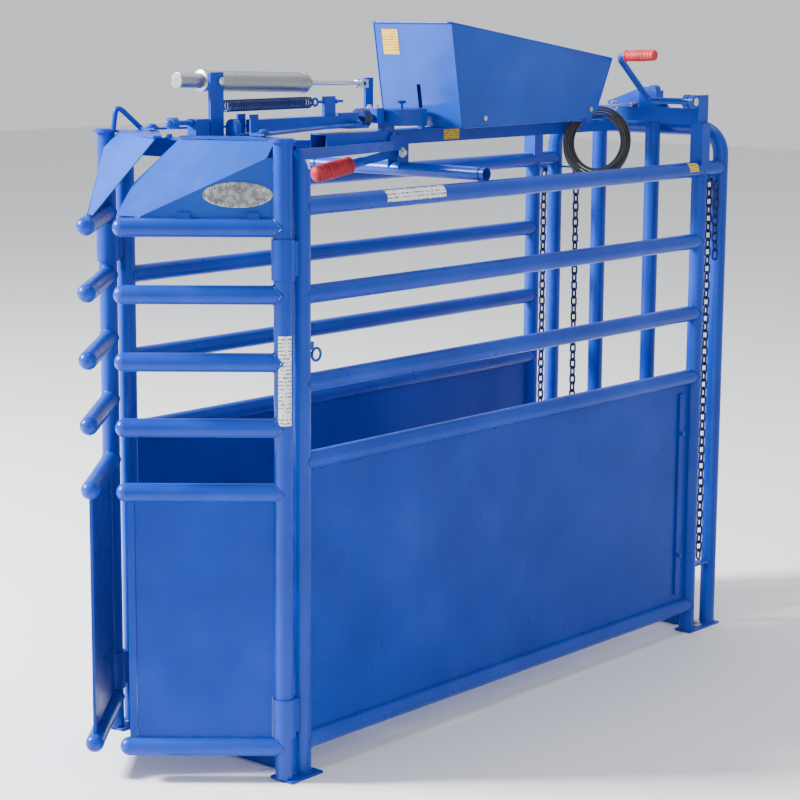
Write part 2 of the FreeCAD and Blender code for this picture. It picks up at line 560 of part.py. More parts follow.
def cover():
    """Folded sheet cover, open underneath, with a slot in its front face for the slide rod."""
    skin = size("cover_sheet")
    outer = plate("cover_outer", COVER_SIDE, "2 * cover_half", ("-cover_half", 0, 0), STAND_YZ)
    inside = [(1010 + 1.2 * skin, 2414 - 1.2 * skin), (1985 - 1.4 * skin, 2277 - skin),
              (1886 - 1.4 * skin, 2076 + skin), (1876, 2030), (1074 + skin, 2030), (1074 + skin, 2046)]
    inner = plate("cover_inner", inside, "2 * cover_half - 2 * cover_sheet",
                  ("-cover_half + cover_sheet", 0, 0), STAND_YZ)
    slot = box("cover_slot", (-9, 1000, 2040), 18, 90, 155)
    mouth = box("cover_mouth", (-24, 1000, 2030), 48, 90, 82)
    body = cut("cover_shell", outer, inner, slot, mouth)
    node("mechanism_cover", body)
    bolts, ribs = [], []
    for side, sign in SIDES.items():
        for n, (y, z) in enumerate(((1200, 2076), (1845, 2088))):
            bolts.append(hex_head(f"{side}_cover_bolt_{n}", (f"{sign} * (cover_half + 0.1)", y, z), 17, 8,
                                  Vector(sign, 0, 0)))
    inner, low = "cover_half - cover_sheet - 0.2", "beam_high + 0.1"
    for n, y in enumerate((1180, 1825)):
        flat = box(f"rib_flat_{n}", (f"-({inner})", y, low), f"2 * ({inner})", 40, 6)
        near_leg = box(f"rib_near_{n}", (f"{inner} - 6", y, low), 6, 40, 60)
        far_leg = box(f"rib_far_{n}", (f"-({inner})", y, low), 6, 40, 60)
        ribs.append(fuse(f"cover_rib_{n}", flat, near_leg, far_leg))
    cheeks = [box(f"{side}_cheek", (f"{sign} * 34 - 4", 1210, "beam_high + 6.4"), 8, 60, 120)
              for side, sign in SIDES.items()]
    axle = rod("catch_axle", (-40, 1240, 2150), 8, 80, X_AXIS)
    node("cover_bolts", group("cover_bolts_group", *bolts))
    front = fuse("front_bracket", ribs[0], *cheeks, axle)
    node("cover_brackets", group("cover_brackets_group", front, ribs[1]))
    arm = box("catch_arm", (-12, 1100, 2140), 24, 260, 20)
    boss = rod("catch_boss", (-26, 1240, 2150), 20, 52, X_AXIS)
    nose = box("catch_nose", (-12, 1100, 2116), 24, 26, 24)
    hole = rod("catch_hole", (-30, 1240, 2150), "8 + run_gap", 60, X_AXIS)
    node("latch_catch", cut("catch", fuse("catch_solid", arm, boss, nose), hole))


def trip_lever():
    """The front hand lever: a flat bar and tube hung in the stub, with a rubber grip."""
    tilt = math.radians(size("lever_tilt"))
    line = Vector(0, -math.cos(tilt), -math.sin(tilt))
    pivot = Vector(5, 925, 1960)
    start = pivot + line * 190
    eye = rod("lever_eye", (pivot.x - 11, pivot.y, pivot.z), 16, 22, X_AXIS)
    flat = box("lever_flat", (pivot.x - 6, pivot.y, pivot.z + 14), 230, 28, 12,
               Rotation(line, Vector(0, 0, 1), Vector(1, 0, 0), "XZY"))
    arm = rod("lever_arm", tuple(start), 17, 215, line)
    hole = rod("lever_hole", (pivot.x - 12, pivot.y, pivot.z), "6 + run_gap", 24, X_AXIS)
    node("trip_lever", cut("lever", fuse("lever_solid", eye, flat, arm), hole))
    grip_start = start + line * 66
    grip = rod("grip_round", tuple(grip_start), 30, 150, line)
    end = ball("grip_end", tuple(grip_start + line * 150), 30)
    seat = rod("grip_seat", tuple(start), 17.05, 215.1, line)
    node("trip_grip", cut("trip_grip_solid", fuse("trip_grip_body", grip, end), seat))


def rear_frame():
    sleeves, heads = [], []
    for side, sign in SIDES.items():
        middle = f"{sign} * half_width"
        tube = square_tube(f"{side}_sleeve_tube", (f"{middle} - 27.5", "rear_post_y - 27.5", "top_rail_z"),
                           55, 55, "sleeve_top - top_rail_z", 4, "z")
        rail = cope(f"{side}_sleeve_cope", (middle, "rear_post_y - 60", "top_rail_z"), 120, Y_AXIS)
        sleeves.append(cut(f"{side}_sleeve", tube, rail))
        head = box(f"{side}_head_block", (f"{middle} - head_thick / 2", "rear_post_y - 34",
                                          "sleeve_top + 0.2"), "head_thick", 68, 106)
        boss = rod(f"{side}_head_boss", (f"{middle} - head_thick / 2", "tail_lever_y", "tail_lever_z"), 26,
                   "head_thick", X_AXIS)
        bore = rod(f"{side}_head_bore", (f"{middle} - 20", "tail_lever_y", "tail_lever_z"),
                   "tail_lever_radius + run_gap", 40, X_AXIS)
        heads.append(cut(f"{side}_head", fuse(f"{side}_head_solid", head, boss), bore))
    node("rear_sleeves", group("rear_sleeves_group", *sleeves, *heads))
    beam_spot = ("-head_x + 0.2", "rear_post_y - 25", "sleeve_top + 0.2")
    node("rear_cross_beam", square_tube("cross_beam", beam_spot, "2 * head_x - 0.4", 50, 54, 4, "x"))
    outline = [(-54, 2041), (237, 2041), (237, 2083), (200, 2118), (150, 2160), (110, 2160), (-54, 2100)]
    gusset = plate("gusset_plate", outline, 10, (0, "rear_post_y + 35.2", 0), STAND_XZ)
    knob = rod("gusset_knob", (178, "rear_post_y - 10", 2150), 19, 36, Y_AXIS)
    stay = box("gusset_stay", (130, "rear_post_y - 25", 2084.2), 80, 50.5, 64)
    node("rear_gusset", fuse("gusset", gusset, stay, knob))


def rear_gate():
    """Two upright bars that lean apart about pins at the floor."""
    for side, sign in SIDES.items():
        middle = f"{sign} * tail_bar_x"
        bar = pipe(f"{side}_tail_tube", (middle, "tail_bar_y", "tail_bar_low"),
                   "tail_bar_top - tail_bar_low")
        bore = rod(f"{side}_tail_bore", (middle, "tail_bar_y - 40", "tail_pivot_z"), "10 + run_gap",
                   80, Y_AXIS)
        node(f"tail_bar_{side}", cut(f"{side}_tail_bar", bar, bore))
    inner_end = "half_width - rear_foot_x / 2 - 0.2"
    sill = square_tube("tail_sill_tube", (f"-({inner_end})", "tail_bar_y - pipe_radius - 0.5", 2),
                       f"2 * ({inner_end})", "2 * pipe_radius + 1", "tail_sill_top - 2", 4, "x")
    parts = [sill]
    for side, sign in SIDES.items():
        middle = f"{sign} * tail_bar_x"
        for name, shift in (("front", "- pipe_radius - 6.5"), ("back", "+ pipe_radius + 0.5")):
            parts.append(box(f"{side}_{name}_ear", (f"{middle} - 20", f"tail_bar_y {shift}", 10), 40, 6, 88))
        parts.append(rod(f"{side}_tail_pin", (middle, "tail_bar_y - pipe_radius - 9", "tail_pivot_z"), 10,
                         "2 * pipe_radius + 18", Y_AXIS))
    node("rear_sill", fuse("rear_sill_solid", *parts))


def rounded_route(points, bend):
    """A wire of straight runs with a tangent arc of one radius at every corner."""
    edges, previous = [], points[0]
    for corner, after in zip(points[1:-1], points[2:]):
        inward = (previous - corner).normalize()
        outward = (after - corner).normalize()
        turn = math.pi - inward.getAngle(outward)
        trim = bend * math.tan(turn / 2)
        first, last = corner + inward * trim, corner + outward * trim
        middle = corner + (inward + outward).normalize() * (bend / math.cos(turn / 2) - bend)
        edges += [Part.makeLine(previous, first), Part.Arc(first, middle, last).toShape()]
        previous = last
    edges.append(Part.makeLine(previous, points[-1]))
    return Part.Wire(edges)


def round_bar(points, bend, radius):
    """A solid round bar along a rounded route."""
    section = Part.Wire(Part.makeCircle(radius, points[0], points[1] - points[0]))
    return rounded_route(points, bend).makePipeShell([section], True, False)


def tail_lever():
    """Bent round bar: a shaft through the near head, an arm up and forward, and a rubber grip."""
    y, z = size("tail_lever_y"), size("tail_lever_z")
    radius, inner_face = size("tail_lever_radius"), size("head_x")
    route = [Vector(inner_face + size("head_thick"), y, z), Vector(197, y, z),
             Vector(197, y - 215, z + 173), Vector(350, y - 215, z + 178)]
    bar = round_bar(route, 30, radius)
    collar = Part.makeCylinder(27, 23, Vector(inner_face - 25, y, z), X_AXIS)
    thing = new("Part::Feature", "tail_lever_bar")
    thing.Shape = bar.fuse(collar).removeSplitter()
    node("tail_lever", thing)
    outward = (route[-1] - route[-2]).normalize()
    sleeve = Part.makeCylinder(22, 118, route[-1] - outward * 118, outward)
    sleeve = sleeve.fuse(Part.makeSphere(22, route[-1]))
    grip = new("Part::Feature", "tail_grip_sleeve")
    grip.Shape = sleeve.cut(Part.makeCylinder(radius + 0.05, 119, route[-1] - outward * 118.9, outward))
    node("tail_grip", grip)


def chain(name, x, y, top, count):
    """A hanging chain of oval links, every second one turned a quarter."""
    wire, pitch, half = size("chain_wire"), size("link_pitch"), size("link_half")
    straight = pitch - 2 * half + 2 * wire + 0.4
    centre = Vector(0, 0, 0)
    links = []
    for index in range(count):
        legs = [Part.makeCylinder(wire, straight, Vector(s * half, 0, -straight / 2)) for s in (1, -1)]
        bends = [Part.makeTorus(half, wire, Vector(0, 0, s * straight / 2), Y_AXIS, 0, 360, 360)
                 for s in (1, -1)]
        keep = Part.makeBox(60, 60, 60, Vector(-30, -30, straight / 2))
        upper = bends[0].common(keep)
        lower = bends[1].common(keep.mirror(Vector(0, 0, 0), Z_AXIS))
        link = legs[0].fuse([legs[1], upper, lower])
        if index % 2:
            link.rotate(centre, Z_AXIS, 90)
        link.translate(Vector(x, y, top - half - wire - straight / 2 - index * pitch))
        links.append(link)
    thing = new("Part::Feature", name + "_links")
    thing.Shape = Part.makeCompound(links)
    return node(name, thing)


def hanger(name, x, y):
    """Two ears and a cross pin that a chain's top link hangs on, with the flat above them."""
    flat = box(name + "_flat", (f"{x} - 12", f"{y} - 16", "chain_top + 2.4"), 24, 32, 6)
    ears = [box(f"{name}_ear_{n}", (f"{x} - 8", f"{y} + {shift}", "chain_top - 16"), 16, 5, 19)
            for n, shift in enumerate((-16, 11))]
    pin = rod(name + "_pin", (x, f"{y} - 16", "chain_top - 11.7"), 3, 32, Y_AXIS)
    return fuse(name, flat, *ears, pin)


def chains():
    top = size("chain_top")
    between = "(rear_post_y + arch_y) / 2"
    gap_y = (size("rear_post_y") + size("arch_y")) / 2
    chain("rear_chain_near", size("half_width"), gap_y, top, 46)
    chain("rear_chain_far", -size("half_width"), gap_y, top, 46)
    chain("rump_chain", -292, size("arch_y"), top, 30)
    anchors = []
    for side, sign in SIDES.items():
        middle = f"{sign} * half_width"
        anchors.append(box(f"{side}_chain_tie", (f"{middle} - 20", "rear_post_y + pipe_radius + 0.3", 262),
                           40, "arch_y - rear_post_y - 2 * pipe_radius - 0.6", 8))
        anchors.append(hanger(f"{side}_chain_hanger", middle, between))
    arm = box("rump_arm", ("-half_width + pipe_radius + 0.3", "arch_y - 16", "chain_top + 2.4"),
              "110 - pipe_radius", 32, 6)
    anchors.append(fuse("rump_bracket", arm, hanger("rump_hanger", "-292", "arch_y")))
    node("chain_anchors", group("chain_anchors_group", *anchors))


def rope():
    """The trip rope: out of the cover, and hung over a peg on the beam as a coil."""
    tab = box("peg_tab", (22, "coil_y - 12", "beam_high + 0.1"), 24, 24, 20)
    peg_spot = ("beam_half + 0.4", "coil_y", "coil_z + coil_radius - coil_thick - 8.3")
    peg = rod("peg_round", peg_spot, 8, "coil_x - beam_half + 30", X_AXIS)
    node("rope_hook", fuse("rope_peg", tab, peg))
    turn = math.radians(size("coil_turn"))
    facing, level = Vector(math.cos(turn), -math.sin(turn), 0), Vector(math.sin(turn), math.cos(turn), 0)
    coil = ring("coil", ("coil_x", "coil_y", "coil_z"), "coil_radius", "coil_thick", facing)
    node("rope_coil", coil)
    DOC.recompute()
    centre = Vector(size("coil_x"), size("coil_y"), size("coil_z"))
    reach = size("coil_radius") + size("coil_thick") - 1
    steep = math.radians(52)
    meet = centre - level * reach * math.cos(steep) + Z_AXIS * reach * math.sin(steep)
    route = [Vector(52, 1846, 2100), Vector(60, 1862, 2056), meet]
    shorter = min((b - a).Length for a, b in zip(route, route[1:]))
    corner = (route[1] - route[0]).getAngle(route[2] - route[1])
    bend = 0.45 * shorter / math.tan(corner / 2)
    line = rounded_route(route, bend)
    cord = round_bar(route, bend, size("rope_radius")).cut(coil.Shape)
    section = math.pi * size("rope_radius") ** 2
    print(f"trip_rope: bend radius {bend:.1f}, rope diameter {2 * size('rope_radius'):.1f}, "
          f"volume {cord.Volume:.0f}, section times length {section * line.Length:.0f}")
    thing = new("Part::Feature", "trip_rope_line")
    thing.Shape = cord
    node("trip_rope", thing)


def post_ring():
    """Eye ring on the near front post, for a lead rope."""
    tab = cut("ring_tab", box("ring_tab_bar", ("half_width + 2", 24, 1395), 10, 22, 26),
              cope("ring_tab_cope", ("half_width", 0, 1380), 60))
    eye = ring("ring_eye", ("half_width + 7", 62, 1378), 20, 4.5, X_AXIS)
    node("post_ring", fuse("post_ring_solid", tab, eye))


def build():
    foot_plates()
    posts()
    rear_arch()
    for side, sign in SIDES.items():
        side_rails(side, sign)
    hinge_collars()
    header()
    adjuster()
    centre_beam()
    for side, sign in SIDES.items():
        gate(side, sign)
    gate_slide()
    spring_and_damper()
    latch_yoke()
    cover()
    trip_lever()
    rear_frame()
    rear_gate()
    tail_lever()
    chains()
    rope()
    post_ring()


def check_and_write():
    DOC.recompute()
    for thing in DOC.Objects:
        if any(word in thing.State for word in ("Invalid", "Error")):
            raise RuntimeError(f"{thing.Name} failed: {thing.State}")
    os.makedirs("parts", exist_ok=True)
    for name, thing in NODES.items():
        shape = thing.Shape
        if shape.isNull() or not shape.isValid() or not shape.Solids:
            raise RuntimeError(f"{name} has no valid solid")
        shape.exportStep(f"parts/{name}.step")
        span = shape.BoundBox
        print(f"{name:20s} solids {len(shape.Solids):3d}  volume {shape.Volume / 1000:10.1f} cm3 "
              f"x {span.XMin:7.0f} {span.XMax:7.0f} y {span.YMin:7.0f} {span.YMax:7.0f} "
              f"z {span.ZMin:7.0f} {span.ZMax:7.0f}")
    print(len(NODES), "nodes")


build()
check_and_write()
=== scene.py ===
"""Blue pipe cattle chute: powder coat, welds, coil spring, trip rope, rubber grips, bolts,
blank labels, studio floor, light and camera. Places are in millimetres in the CAD's own
frame and become metres through mm()."""
import math
import random

import bpy
from mathutils import Matrix, Vector


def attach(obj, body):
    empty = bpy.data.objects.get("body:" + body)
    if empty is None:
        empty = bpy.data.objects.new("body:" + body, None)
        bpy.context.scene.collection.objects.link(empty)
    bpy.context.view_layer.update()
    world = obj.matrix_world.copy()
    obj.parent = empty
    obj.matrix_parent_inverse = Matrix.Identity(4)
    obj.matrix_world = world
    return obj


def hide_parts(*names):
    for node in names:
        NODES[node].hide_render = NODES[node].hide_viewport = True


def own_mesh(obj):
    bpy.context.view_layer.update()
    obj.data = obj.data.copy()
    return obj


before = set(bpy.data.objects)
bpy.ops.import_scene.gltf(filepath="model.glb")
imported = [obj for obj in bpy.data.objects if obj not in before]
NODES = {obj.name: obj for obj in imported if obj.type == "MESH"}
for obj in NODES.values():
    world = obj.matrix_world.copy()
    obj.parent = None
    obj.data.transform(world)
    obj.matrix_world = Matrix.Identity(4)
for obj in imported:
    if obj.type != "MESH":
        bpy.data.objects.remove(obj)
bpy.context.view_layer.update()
RANDOM = random.Random(7)

# driving sizes, as the CAD has them
PIPE, HALF_WIDTH, SETBACK = 30.15, 402.0, 83.0
REAR_POST_Y, ARCH_Y, GAP_Y = 2271.0, 2421.0, 2346.0
CROSS_TUBE_Y, CROSS_TUBE_Z, CROSS_TUBE_RADIUS = 935.0, 1902.0, 24.5
FOOT_TOP, DECK_TOP, COLLAR_LOWS = 8.0, 2046.0, (1627.0, 147.0)
RAIL_HEIGHTS = {"top": 1851.0, "second": 1572.0, "third": 1290.0, "panel": 1038.0, "bottom": 111.0}
RUNG_HEIGHTS = (1790.0, 1580.0, 1367.0, 1158.0, 950.0, 113.0)
SIDE_SHEET_FACE, SIDE_WELD_SPACING = HALF_WIDTH + 3.0, 182.0
GATE_ANGLE = {"near": 41.0, "far": 50.0}
SIDES = {"near": 1, "far": -1}
CRANK, HALF_TRAVEL = 165.0, math.radians(25)
SPRING_AXIS, SPRING_ENDS = (6.0, 2148.0), (62.0, 466.0)
DAMPER_PIVOT, DAMPER_TILT = Vector((-34.0, 36.0, 2228.0)), math.radians(1.912)
TRIP_PIVOT, TRIP_TILT = Vector((5.0, 925.0, 1960.0)), math.radians(7.5)
TRIP_FLAT_BAR, TRIP_ROUND_BAR = 190.0, 66.0
TAIL_LEVER_END, TAIL_LEVER_BEND = Vector((350, 2000, 2290)), Vector((197, 2000, 2285))
COVER_HALF_WIDTH, COVER_BROW, COVER_TAIL = 180.0, (1010, 2414), (1985, 2277)
COVER_HEEL, COVER_TOE, COVER_FOOT = (1886, 2076), (1800, 2050), (1074, 2046)
COIL_CENTRE, COIL_TURN, ROPE_RADIUS = Vector((125.0, 1976.0, 1955.0)), math.radians(31.5), 4.0
X, Y, Z = Vector((1, 0, 0)), Vector((0, 1, 0)), Vector((0, 0, 1))


def mm(*values):
    """Millimetres to metres: one number, or a point."""
    if len(values) == 1 and not hasattr(values[0], "__len__"):
        return values[0] * 0.001
    point = values[0] if len(values) == 1 else values
    return Vector(point) * 0.001


# ---------------------------------------------------------------- materials

def shader(name, **sockets):
    """A new material with its Principled shader's sockets set, its node tree and that shader."""
    material = bpy.data.materials.new(name)
    material.use_nodes = True
    tree = material.node_tree
    principled = tree.nodes["Principled BSDF"]
    for socket, value in sockets.items():
        principled.inputs[socket.replace("_", " ")].default_value = value
    return material, tree, principled


def noise(tree, scale, detail=4.0, rough=0.55, stretch=None):
    """A noise texture in object space, stretched along an axis if asked."""
    coords = tree.nodes.new("ShaderNodeTexCoord")
    texture = tree.nodes.new("ShaderNodeTexNoise")
    texture.inputs["Scale"].default_value = scale
    texture.inputs["Detail"].default_value = detail
    texture.inputs["Roughness"].default_value = rough
    source = coords.outputs["Object"]
    if stretch:
        mapping = tree.nodes.new("ShaderNodeMapping")
        mapping.inputs["Scale"].default_value = stretch
        tree.links.new(source, mapping.inputs["Vector"])
        source = mapping.outputs["Vector"]
    tree.links.new(source, texture.inputs["Vector"])
    return texture.outputs["Fac"]


def ramp(tree, source, stops):
    """A colour ramp over a factor; stops are (place, colour)."""
    node = tree.nodes.new("ShaderNodeValToRGB")
    elements = node.color_ramp.elements
    while len(elements) < len(stops):
        elements.new(0.5)
    for element, (place, colour) in zip(elements, stops):
        element.position = place
        element.color = (*colour, 1.0)
    tree.links.new(source, node.inputs["Fac"])
    return node.outputs["Color"]


def spread(tree, source, low, high, from_low=0.3, from_high=0.7):
    """Maps a factor's middle range to low..high."""
    node = tree.nodes.new("ShaderNodeMapRange")
    limits = {"From Min": from_low, "From Max": from_high, "To Min": low, "To Max": high}
    for socket, value in limits.items():
        node.inputs[socket].default_value = value
    tree.links.new(source, node.inputs["Value"])
    return node.outputs["Result"]


def bump(tree, principled, source, strength, distance, after=None):
    """A bump on the shader's normal, laid over an earlier bump if one is given."""
    node = tree.nodes.new("ShaderNodeBump")
    node.inputs["Strength"].default_value = strength
    node.inputs["Distance"].default_value = distance
    tree.links.new(source, node.inputs["Height"])
    if after:
        tree.links.new(after.outputs["Normal"], node.inputs["Normal"])
    tree.links.new(node.outputs["Normal"], principled.inputs["Normal"])
    return node


def blend_colour(tree, factor, first, second):
    """One colour into another by a factor; each is a plain colour or another node's output."""
    first_socket, second_socket, result = 6, 7, 2  # the mix node's colour sockets
    node = tree.nodes.new("ShaderNodeMix")
    node.data_type = "RGBA"
    tree.links.new(factor, node.inputs["Factor"])
    for socket, colour in ((first_socket, first), (second_socket, second)):
        if isinstance(colour, tuple):
            node.inputs[socket].default_value = (*colour, 1.0)
        else:
            tree.links.new(colour, node.inputs[socket])
    return node.outputs[result]


def powder_coat(name, colour, dust=0.25, sheen=0.25):
    """Semi-gloss powder coat: orange peel, faint tone drift, dust film and a few chips."""
    material, tree, principled = shader(name, Roughness=0.36, Specular_IOR_Level=sheen,
                                        Coat_Weight=0.4 * sheen, Coat_Roughness=0.18)
    darker = tuple(c * 0.80 for c in colour)
    lighter = tuple(min(1.0, c * 1.16 + 0.006) for c in colour)
    tone = ramp(tree, noise(tree, 2.3, 3.0), [(0.32, darker), (0.52, colour), (0.72, lighter)])
    film = spread(tree, noise(tree, 6.0, 7.0, 0.7), 0.0, dust, 0.45, 0.8)
    dusty = blend_colour(tree, film, tone, (0.03, 0.09, 0.36))
    chips = spread(tree, noise(tree, 85.0, 2.0, 0.4), 0.0, 0.85, 0.745, 0.765)
    chipped = blend_colour(tree, chips, dusty, (0.035, 0.045, 0.09))
    tree.links.new(chipped, principled.inputs["Base Color"])
    tree.links.new(spread(tree, noise(tree, 14.0, 5.0), 0.25, 0.43), principled.inputs["Roughness"])
    peel = bump(tree, principled, noise(tree, 420.0, 2.0), 0.10, 0.0006)
    bump(tree, principled, noise(tree, 3.2, 1.0), 0.25, 0.004, after=peel)
    return material


def metal(name, colour, rough=(0.28, 0.45), stretch=None, spots=(0.10, 0.10, 0.11),
          stained=(0.62, 0.75)):
    """Bare or plated steel: fine brushing, cloudy tone and dull spots."""
    material, tree, principled = shader(name, Metallic=0.92)
    cloudy = ramp(tree, noise(tree, 38.0, 5.0, stretch=stretch),
                  [(0.3, tuple(c * 0.72 for c in colour)), (0.7, colour)])
    stain = spread(tree, noise(tree, 60.0, 3.0), 0.0, 0.6, *stained)
    tree.links.new(blend_colour(tree, stain, cloudy, spots), principled.inputs["Base Color"])
    dullness = spread(tree, noise(tree, 90.0, 3.0, stretch=stretch), *rough)
    tree.links.new(dullness, principled.inputs["Roughness"])
    bump(tree, principled, noise(tree, 650.0, 2.0, stretch=stretch), 0.12, 0.0004)
    return material


def rubber(name, colour):
    """Moulded rubber: mottled tone and a fine grain."""
    material, tree, principled = shader(name, Specular_IOR_Level=0.4)
    darker = tuple(c * 0.55 for c in colour)
    tone = ramp(tree, noise(tree, 30.0, 5.0), [(0.35, darker), (0.65, colour)])
    tree.links.new(tone, principled.inputs["Base Color"])
    tree.links.new(spread(tree, noise(tree, 50.0, 4.0), 0.42, 0.62), principled.inputs["Roughness"])
    bump(tree, principled, noise(tree, 700.0, 3.0), 0.2, 0.0006)
    return material


def braid(name, colour):
    """Black braided rope: two crossing sets of diagonal strands, painted shade in the grooves between them,
    and loose fuzz.
    """
    material, tree, principled = shader(name, Roughness=0.78, Sheen_Weight=0.25)
    coords = tree.nodes.new("ShaderNodeTexCoord")
    heights = []
    for turn in (0.8, -0.8):
        mapping = tree.nodes.new("ShaderNodeMapping")
        mapping.inputs["Rotation"].default_value = (0.0, turn, turn)
        tree.links.new(coords.outputs["Object"], mapping.inputs["Vector"])
        wave = tree.nodes.new("ShaderNodeTexWave")
        wave.inputs["Scale"].default_value = 140.0
        wave.inputs["Distortion"].default_value = 1.5
        tree.links.new(mapping.outputs["Vector"], wave.inputs["Vector"])
        heights.append(wave.outputs["Fac"])
    weave = tree.nodes.new("ShaderNodeMath")
    weave.operation = "MAXIMUM"
    tree.links.new(heights[0], weave.inputs[0])
    tree.links.new(heights[1], weave.inputs[1])
    # painted shade: the grooves between the strands are darkened to about a third of the rope's colour
    tone = ramp(tree, weave.outputs[0], [(0.2, tuple(c * 0.35 for c in colour)), (0.9, colour)])
    tree.links.new(tone, principled.inputs["Base Color"])
    first = bump(tree, principled, weave.outputs[0], 0.7, 0.0012)
    bump(tree, principled, noise(tree, 900.0, 3.0), 0.3, 0.0006, after=first)
    return material


def printed(name, colour, bars):
    """Vinyl label stock with plain broken bars across it, and no words."""
    material, tree, principled = shader(name, Roughness=0.4)
    tone = ramp(tree, noise(tree, 25.0, 4.0), [(0.3, tuple(c * 0.86 for c in colour)), (0.7, colour)])
    coords = tree.nodes.new("ShaderNodeTexCoord")
    wave = tree.nodes.new("ShaderNodeTexWave")
    wave.bands_direction = "Z"
    wave.inputs["Scale"].default_value = bars
    wave.inputs["Distortion"].default_value = 0.0
    tree.links.new(coords.outputs["Object"], wave.inputs["Vector"])
    rows = spread(tree, wave.outputs["Fac"], 0.0, 1.0, 0.62, 0.66)
    gaps = spread(tree, noise(tree, 130.0, 1.0), 0.0, 0.85, 0.46, 0.50)
    both = tree.nodes.new("ShaderNodeMath")
    both.operation = "MULTIPLY"
    tree.links.new(rows, both.inputs[0])
    tree.links.new(gaps, both.inputs[1])
    inked = blend_colour(tree, both.outputs[0], tone, (0.03, 0.03, 0.04))
    tree.links.new(inked, principled.inputs["Base Color"])
    bump(tree, principled, noise(tree, 120.0, 2.0), 0.08, 0.0004)
    return material


BLUE = powder_coat("blue_powder_coat", (0.002, 0.038, 0.36), dust=0.2, sheen=0.22)
# painted shade: the side and gate sheets take a darker copy of the blue paint for the shade they stand in
BLUE_SHEET_PAINTED_SHADE = powder_coat("blue_sheet_coat_painted_shade", (0.002, 0.032, 0.32), dust=0.14, sheen=0.14)
# painted light: the cover, the gate wings and their folds, hems and brow take a lighter, more cyan copy of
# the blue paint for the sunlight on them
BLUE_COVER_PAINTED_LIGHT = powder_coat("blue_cover_coat_painted_light", (0.004, 0.058, 0.40), dust=0.14, sheen=0.22)
BLUE_WELD = powder_coat("blue_weld_coat", (0.002, 0.028, 0.27), dust=0.1)
DEEP_BLUE = powder_coat("deep_blue_coat", (0.005, 0.018, 0.13), dust=0.25)
ZINC = metal("zinc_plate", (0.66, 0.67, 0.69))
SILVER = metal("silver_damper_coat", (0.40, 0.41, 0.43), rough=(0.32, 0.48), stretch=(1, 6, 1))
ROD_STEEL = metal("polished_rod", (0.72, 0.73, 0.75), rough=(0.14, 0.26), stretch=(1, 12, 1))
CHAIN_STEEL = metal("chain_dark_blue", (0.028, 0.045, 0.16), rough=(0.34, 0.55), spots=(0.09, 0.05, 0.03))
RED_RUBBER = rubber("red_grip_rubber", (0.52, 0.018, 0.028))
BLACK_RUBBER = rubber("black_rubber", (0.018, 0.018, 0.020))
ROPE = braid("black_braided_rope", (0.035, 0.036, 0.042))
WHITE_LABEL = printed("white_label", (0.78, 0.79, 0.80), bars=26.0)
YELLOW_LABEL = printed("yellow_label", (0.74, 0.47, 0.005), bars=34.0)
PLATE_METAL = metal("badge_metal", (0.40, 0.41, 0.43), rough=(0.25, 0.5), stained=(0.42, 0.56))

# the imported nodes that aren't in plain blue paint
FINISHES = {
    "slide_rod": DEEP_BLUE, "damper_body": SILVER, "damper_rod": ROD_STEEL, "cover_bolts": ZINC,
    "rear_chain_near": CHAIN_STEEL, "rear_chain_far": CHAIN_STEEL, "rump_chain": CHAIN_STEEL,
    "near_panel": BLUE_SHEET_PAINTED_SHADE, "far_panel": BLUE_SHEET_PAINTED_SHADE, "near_gate_panel": BLUE_SHEET_PAINTED_SHADE,
    "far_gate_panel": BLUE_SHEET_PAINTED_SHADE, "mechanism_cover": BLUE_COVER_PAINTED_LIGHT, "near_gate_wing": BLUE_COVER_PAINTED_LIGHT,
    "far_gate_wing": BLUE_COVER_PAINTED_LIGHT,
}


def finish_cad_nodes():
    """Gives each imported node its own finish, or plain blue paint."""
    for name, node in NODES.items():
        material = FINISHES.get(name, BLUE)
        if not node.material_slots:
            node.data.materials.append(material)
        for place in node.material_slots:
            place.material = material


# ---------------------------------------------------------------- piece makers

def piece(name, points, faces, material, body, smooth=True):
    """A mesh piece from points in millimetres, riding on a CAD body."""
    mesh = bpy.data.meshes.new(name)
    mesh.from_pydata([mm(p) for p in points], [], faces)
    mesh.validate()
    mesh.materials.append(material)
    thing = bpy.data.objects.new(name, mesh)
    bpy.context.scene.collection.objects.link(thing)
    for polygon in mesh.polygons:
        polygon.use_smooth = smooth
    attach(thing, body)
    return thing


def crease(thing, angle=35.0):
    """Flat shading across edges sharper than an angle, smooth over the rest."""
    thing.data.set_sharp_from_angle(angle=math.radians(angle))
    return thing


def across(direction):
    """Two unit directions square to a direction."""
    helper = Z if abs(direction.z) < 0.9 else X
    first = direction.cross(helper).normalized()
    return first, direction.cross(first).normalized()


def round_angles(count):
    """Even angles round a full turn."""
    return [2 * math.pi * k / count for k in range(count)]


def ring_faces(rows, sides, closed=False):
    """Faces over rows of ring points, with an end face at each end unless the rows close up."""
    faces = []
    for row in range(rows if closed else rows - 1):
        start, after = row * sides, (row + 1) % rows * sides
        for k in range(sides):
            n = (k + 1) % sides
            faces.append((start + k, start + n, after + n, after + k))
    if not closed:
        faces.append(tuple(range(sides))[::-1])
        faces.append(tuple(range((rows - 1) * sides, rows * sides)))
    return faces


def sweep(points, radius, sides=10, closed=False):
    """Points and faces of a tube along a line; radius is a number or a function of the point's index."""
    count = len(points)
    spots = []
    side = None
    for index, point in enumerate(points):
        ahead = points[(index + 1) % count] if closed or index < count - 1 else point
        behind = points[index - 1] if closed or index > 0 else point
        along = (ahead - behind).normalized()
        if side is None:
            side = across(along)[0]
        side = (side - along * side.dot(along)).normalized()
        other = along.cross(side)
        reach = radius(index) if callable(radius) else radius
        spots += [point + (side * math.cos(a) + other * math.sin(a)) * reach for a in round_angles(sides)]
    return spots, ring_faces(count, sides, closed)


